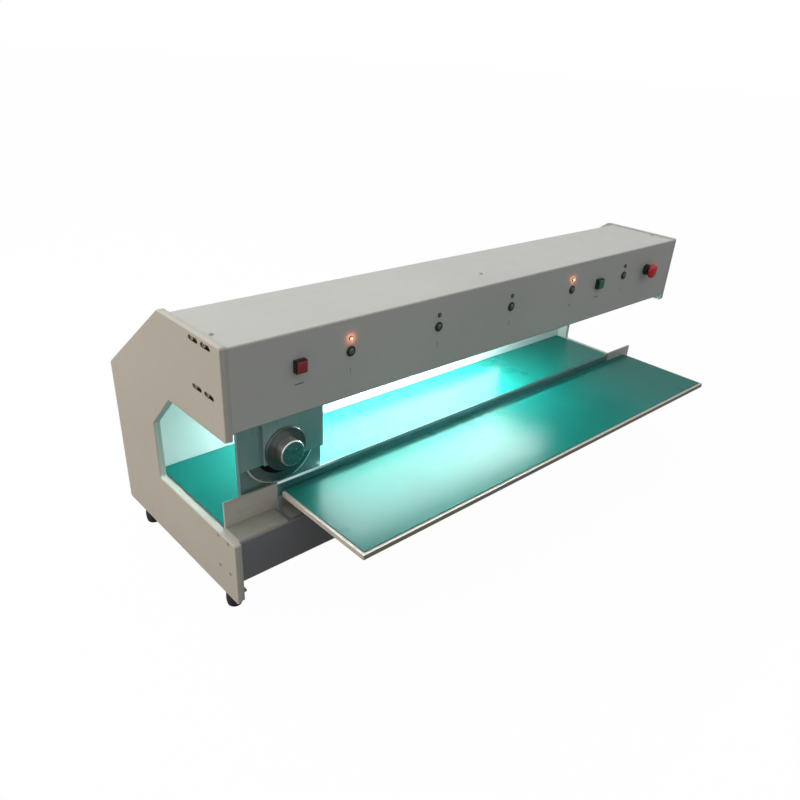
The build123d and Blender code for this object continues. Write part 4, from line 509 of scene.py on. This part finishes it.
# Painted reflection: the knob's face is painted dark teal for the dark surroundings and the green
# mat mirrored in it.
dress(turned_metal("knob_silver", linear(226, 222, 218), KNOB_AXIS, roughness=0.26,
                   contrast=0.04, mask=knob_face_reflection, masked=linear(120, 150, 150)),
      "adjusting_knob")
dress(turned_metal("bronze", linear(176, 140, 84), KNOB_AXIS, roughness=0.3), "spindle_bushes")

# ---------------------------------------------------------------- rubber, plastics, lenses
LAMP_TINT = (0.80, 1.0, 0.98)

dress(rubber("foot_rubber", linear(34, 34, 36)), "feet")
dress(rubber("belt_rubber", linear(30, 30, 31)), "drive_belt")
dress(plastic("black_plastic", linear(26, 26, 28), roughness=0.38),
      "power_inlet", "switch_housings", "estop_plunger", "position_sensors")
dress(plastic("circuit_board", linear(30, 110, 60), roughness=0.4, grain=0.3), "control_board")
dress(plastic("lens_unlit", linear(98, 98, 94), roughness=0.18, grain=0.04),
      "indicator_lenses_unlit")
dress(plastic("red_switch", linear(150, 38, 50), roughness=0.22, grain=0.05, edge=0.5),
      "power_switch_cap")
dress(plastic("green_switch", linear(12, 118, 88), roughness=0.25, grain=0.05),
      "start_button_cap")
dress(plastic("estop_red", linear(206, 28, 40), roughness=0.24, grain=0.05), "estop_head")
dress(glowing("lens_lit", linear(255, 120, 70), (1.0, 0.42, 0.22), strength=3.0),
      "indicator_lenses_lit")
dress(glowing("lit_diffuser", linear(240, 250, 250), LAMP_TINT, strength=6.0), "lamp_diffuser")

# ---------------------------------------------------------------- marks on the panel
PANEL_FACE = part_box("upper_cover")[0][1]
DIGIT_HEIGHT = 0.009
DIGIT_DROP = 0.041           # below the button's middle
CAPITAL_SHARE = 0.7          # a digit's height over its font size
INK_THICKNESS = 0.0001
STRIP = (0.020, 0.0002, 0.0022)
STRIP_DROP = 0.037           # below the switch's middle
ink = plastic("ink", linear(102, 104, 100), roughness=0.6, grain=0.02, edge=None)


def panel_place(node, drop):
    """The place on the panel's face that far below the middle of a node."""
    low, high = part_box(node)
    return (low[0] + high[0]) / 2, PANEL_FACE, (low[2] + high[2]) / 2 - drop


def printed(text, place):
    """Flat lettering on the panel's front face."""
    curve = bpy.data.curves.new(f"number_{text}", "FONT")
    curve.body = text
    curve.size = DIGIT_HEIGHT / CAPITAL_SHARE
    curve.align_x = "CENTER"
    curve.align_y = "CENTER"
    curve.extrude = INK_THICKNESS
    source = bpy.data.objects.new(f"source_{text}", curve)
    bpy.context.scene.collection.objects.link(source)
    bpy.context.view_layer.update()
    shaped = source.evaluated_get(bpy.context.evaluated_depsgraph_get())
    mesh = bpy.data.meshes.new_from_object(shaped)
    bpy.data.objects.remove(source)
    letter = bpy.data.objects.new(f"number_{text}", mesh)
    letter.location = place
    letter.rotation_euler = (math.pi / 2, 0, 0)
    bpy.context.scene.collection.objects.link(letter)
    mesh.materials.clear()
    mesh.materials.append(ink.material)
    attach(letter, "frame")


def bare_strip(name, place):
    """The blank label under a switch."""
    bpy.ops.mesh.primitive_cube_add(size=1.0)
    strip = bpy.context.object
    strip.name = name
    strip.scale = STRIP
    strip.location = place
    strip.data.materials.append(ink.material)
    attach(strip, "frame")


for name in button_names:
    printed(name[-1], panel_place(name, DIGIT_DROP))
bare_strip("power_label", panel_place("power_switch_cap", STRIP_DROP))
bare_strip("start_label", panel_place("start_button_cap", STRIP_DROP))

# ---------------------------------------------------------------- room
FLOOR_TONE = linear(150, 150, 152)
FLOOR_HALF = 30.0
FLOOR_WHITE = 0.94           # share of plain white that the camera sees on the floor
FLOOR_GLOW = 1.04
WORLD_LOW, WORLD_HIGH = 0.12, 0.75       # the room's light from the horizon and from above
WORLD_TOP = 0.9              # height on the unit sphere at which WORLD_HIGH is reached


def floor():
    """A pale floor that takes shadows and looks white to the camera."""
    mesh = bpy.data.meshes.new("floor")
    shape = bmesh.new()
    bmesh.ops.create_grid(shape, x_segments=1, y_segments=1, size=FLOOR_HALF)
    shape.to_mesh(mesh)
    shape.free()
    ground = bpy.data.objects.new("floor", mesh)
    bpy.context.scene.collection.objects.link(ground)
    t = Tree("floor")
    t.colour(t.mix(t.noise(4.0, detail=2.0), times(FLOOR_TONE, 0.98), FLOOR_TONE))
    t.set(Roughness=0.9)
    glow = t.add("ShaderNodeEmission")
    glow.inputs["Color"].default_value = (1, 1, 1, 1)
    glow.inputs["Strength"].default_value = FLOOR_GLOW
    path = t.add("ShaderNodeLightPath")
    seen = t.maths("MULTIPLY", path.outputs["Is Camera Ray"], FLOOR_WHITE)
    mixed = t.add("ShaderNodeMixShader")
    for socket, source in zip(mixed.inputs, (seen, t.shader.outputs[0], glow.outputs[0])):
        t.link(source, socket)
    t.link(mixed.outputs[0], t.output.inputs["Surface"])
    mesh.materials.append(t.material)


def world():
    """Plain white where it is seen, mirrored or looked at through something; soft light else."""
    sky = bpy.data.worlds.new("studio")
    bpy.context.scene.world = sky
    sky.use_nodes = True
    nodes, links = sky.node_tree.nodes, sky.node_tree.links
    back = nodes["Background"]
    back.inputs["Color"].default_value = (1.0, 1.0, 1.0, 1)
    path = nodes.new("ShaderNodeLightPath")
    seen = path.outputs["Is Camera Ray"]
    for ray in ("Is Transmission Ray", "Is Glossy Ray"):
        both = nodes.new("ShaderNodeMath")
        both.operation = "MAXIMUM"
        links.new(seen, both.inputs[0])
        links.new(path.outputs[ray], both.inputs[1])
        seen = both.outputs[0]
    place = nodes.new("ShaderNodeTexCoord")
    split = nodes.new("ShaderNodeSeparateXYZ")
    links.new(place.outputs["Generated"], split.inputs[0])
    height = nodes.new("ShaderNodeMapRange")
    ends = {"From Min": 0.0, "From Max": WORLD_TOP, "To Min": WORLD_LOW, "To Max": WORLD_HIGH}
    for key, number in ends.items():
        height.inputs[key].default_value = number
    links.new(split.outputs["Z"], height.inputs["Value"])
    level = nodes.new("ShaderNodeMix")
    factor, soft, white = level.inputs[0], level.inputs[2], level.inputs[3]
    links.new(seen, factor)
    links.new(height.outputs[0], soft)
    white.default_value = 1.0
    links.new(level.outputs[0], back.inputs["Strength"])


floor()
world()

# ---------------------------------------------------------------- lights
# name: place, point it shines at, width and height, watts, colour
STUDIO = {
    "key": ((-1.0, 1.6, 3.2), (0.0, 0.1, 0.3), (3.0, 2.4), 45.0, (1.0, 0.99, 0.97)),
    "left": ((-3.2, 0.6, 1.3), (-0.75, 0.2, 0.3), (1.6, 1.8), 31.0, (1.0, 0.90, 0.78)),
    "window": ((2.6, -2.3, 1.9), (0.3, -0.15, 0.4), (0.8, 0.8), 3.0, (1.0, 1.0, 0.97)),
}
# Under the beam the washes light what is matt, and the glows are only mirrored.
WASH_WATTS = {"work_lamp": 11.5, "wall_wash": 4.0}
GLOW_WATTS = {"wall_glow": 6.2, "soffit_glow": 17.0}
GLOW_TINT = (0.92, 1.0, 1.0)
LIT_FROM, LIT_PAST = 0.08, 0.14          # the lit stretch, from the diffuser's two ends
LAMP_GAP, WALL_GAP = 0.003, 0.004        # between a light and the surface it stands for
WASH_DROP = 0.12             # the wall wash aims this far below its own height
WALL_GLOW_SHIFT, WALL_GLOW_EXTRA, WALL_GLOW_MARGIN = 0.08, 0.22, 0.01
SOFFIT_Y, SOFFIT_DEPTH = -0.02, 0.24     # the lit underside that the mats mirror
SOFFIT_SHIFT, SOFFIT_EXTRA = 0.03, 0.06
LENS_GAP, LENS_SIZE = 0.002, 0.010
LENS_WATTS, LENS_TINT = 0.003, (1.0, 0.25, 0.08)


def area(name, place, target, size, power, colour):
    """A rectangular light at a place that shines at a target."""
    data = bpy.data.lights.new(name, "AREA")
    data.shape = "RECTANGLE"
    data.size, data.size_y = size
    data.energy = power
    data.color = colour
    lamp = bpy.data.objects.new(name, data)
    lamp.location = place
    direction = Vector(target) - Vector(place)
    lamp.rotation_euler = direction.to_track_quat("-Z", "Y").to_euler()
    bpy.context.scene.collection.objects.link(lamp)
    return lamp


def beam_lights():
    """The lights under the beam, in place of the diffuser's own weak glow."""
    low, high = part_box("lamp_diffuser")
    wall_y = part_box("inner_rear_wall")[0][1]
    mat_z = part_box("work_mats")[1][2]
    start, end = low[0] + LIT_FROM, high[0] + LIT_PAST
    x, y, z = (start + end) / 2, (low[1] + high[1]) / 2, low[2] - LAMP_GAP
    length, width = end - start, high[1] - low[1]
    for name, target in (("work_lamp", (x, y, 0.0)), ("wall_wash", (x, wall_y, z - WASH_DROP))):
        lamp = area(name, (x, y, z), target, (length, width), WASH_WATTS[name], LAMP_TINT)
        lamp.visible_glossy = False
    wall_x, wall_z = x + WALL_GLOW_SHIFT, (mat_z + low[2]) / 2
    wall_size = length + WALL_GLOW_EXTRA, low[2] - mat_z - WALL_GLOW_MARGIN
    soffit_x = x + SOFFIT_SHIFT
    for name, place, target, size in (
            ("wall_glow", (wall_x, wall_y - WALL_GAP, wall_z), (wall_x, -1.0, wall_z), wall_size),
            ("soffit_glow", (soffit_x, SOFFIT_Y, z), (soffit_x, SOFFIT_Y, 0.0),
             (length + SOFFIT_EXTRA, SOFFIT_DEPTH))):
        lamp = area(name, place, target, size, GLOW_WATTS[name], GLOW_TINT)
        lamp.visible_diffuse = False
        lamp.visible_camera = False


def lens_lights():
    """The glow of the two lit lenses on the panel round them."""
    low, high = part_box("indicator_lenses_lit")
    half = (high[2] - low[2]) / 2
    for x, z in ((low[0] + half, low[2] + half), (high[0] - half, low[2] + half)):
        area("lens_glow", (x, low[1] - LENS_GAP, z), (x, 0.0, z), (LENS_SIZE, LENS_SIZE),
             LENS_WATTS, LENS_TINT)


for name, settings in STUDIO.items():
    area(name, *settings)
beam_lights()
lens_lights()

# ---------------------------------------------------------------- camera
camera_data = bpy.data.cameras.new("camera")
camera_data.lens = 32.015
camera_data.sensor_width = 36.0
camera_data.shift_x = -0.00966
camera_data.shift_y = 0.04976
camera_data.clip_start, camera_data.clip_end = 0.05, 60.0
camera = bpy.data.objects.new("camera", camera_data)
camera.location = (-1.28132, -1.14161, 1.05910)
camera.rotation_euler = [math.radians(angle) for angle in (60.520, -3.4715, -42.5567)]
bpy.context.scene.collection.objects.link(camera)
bpy.context.scene.camera = camera
bpy.context.scene.view_settings.view_transform = "Standard"
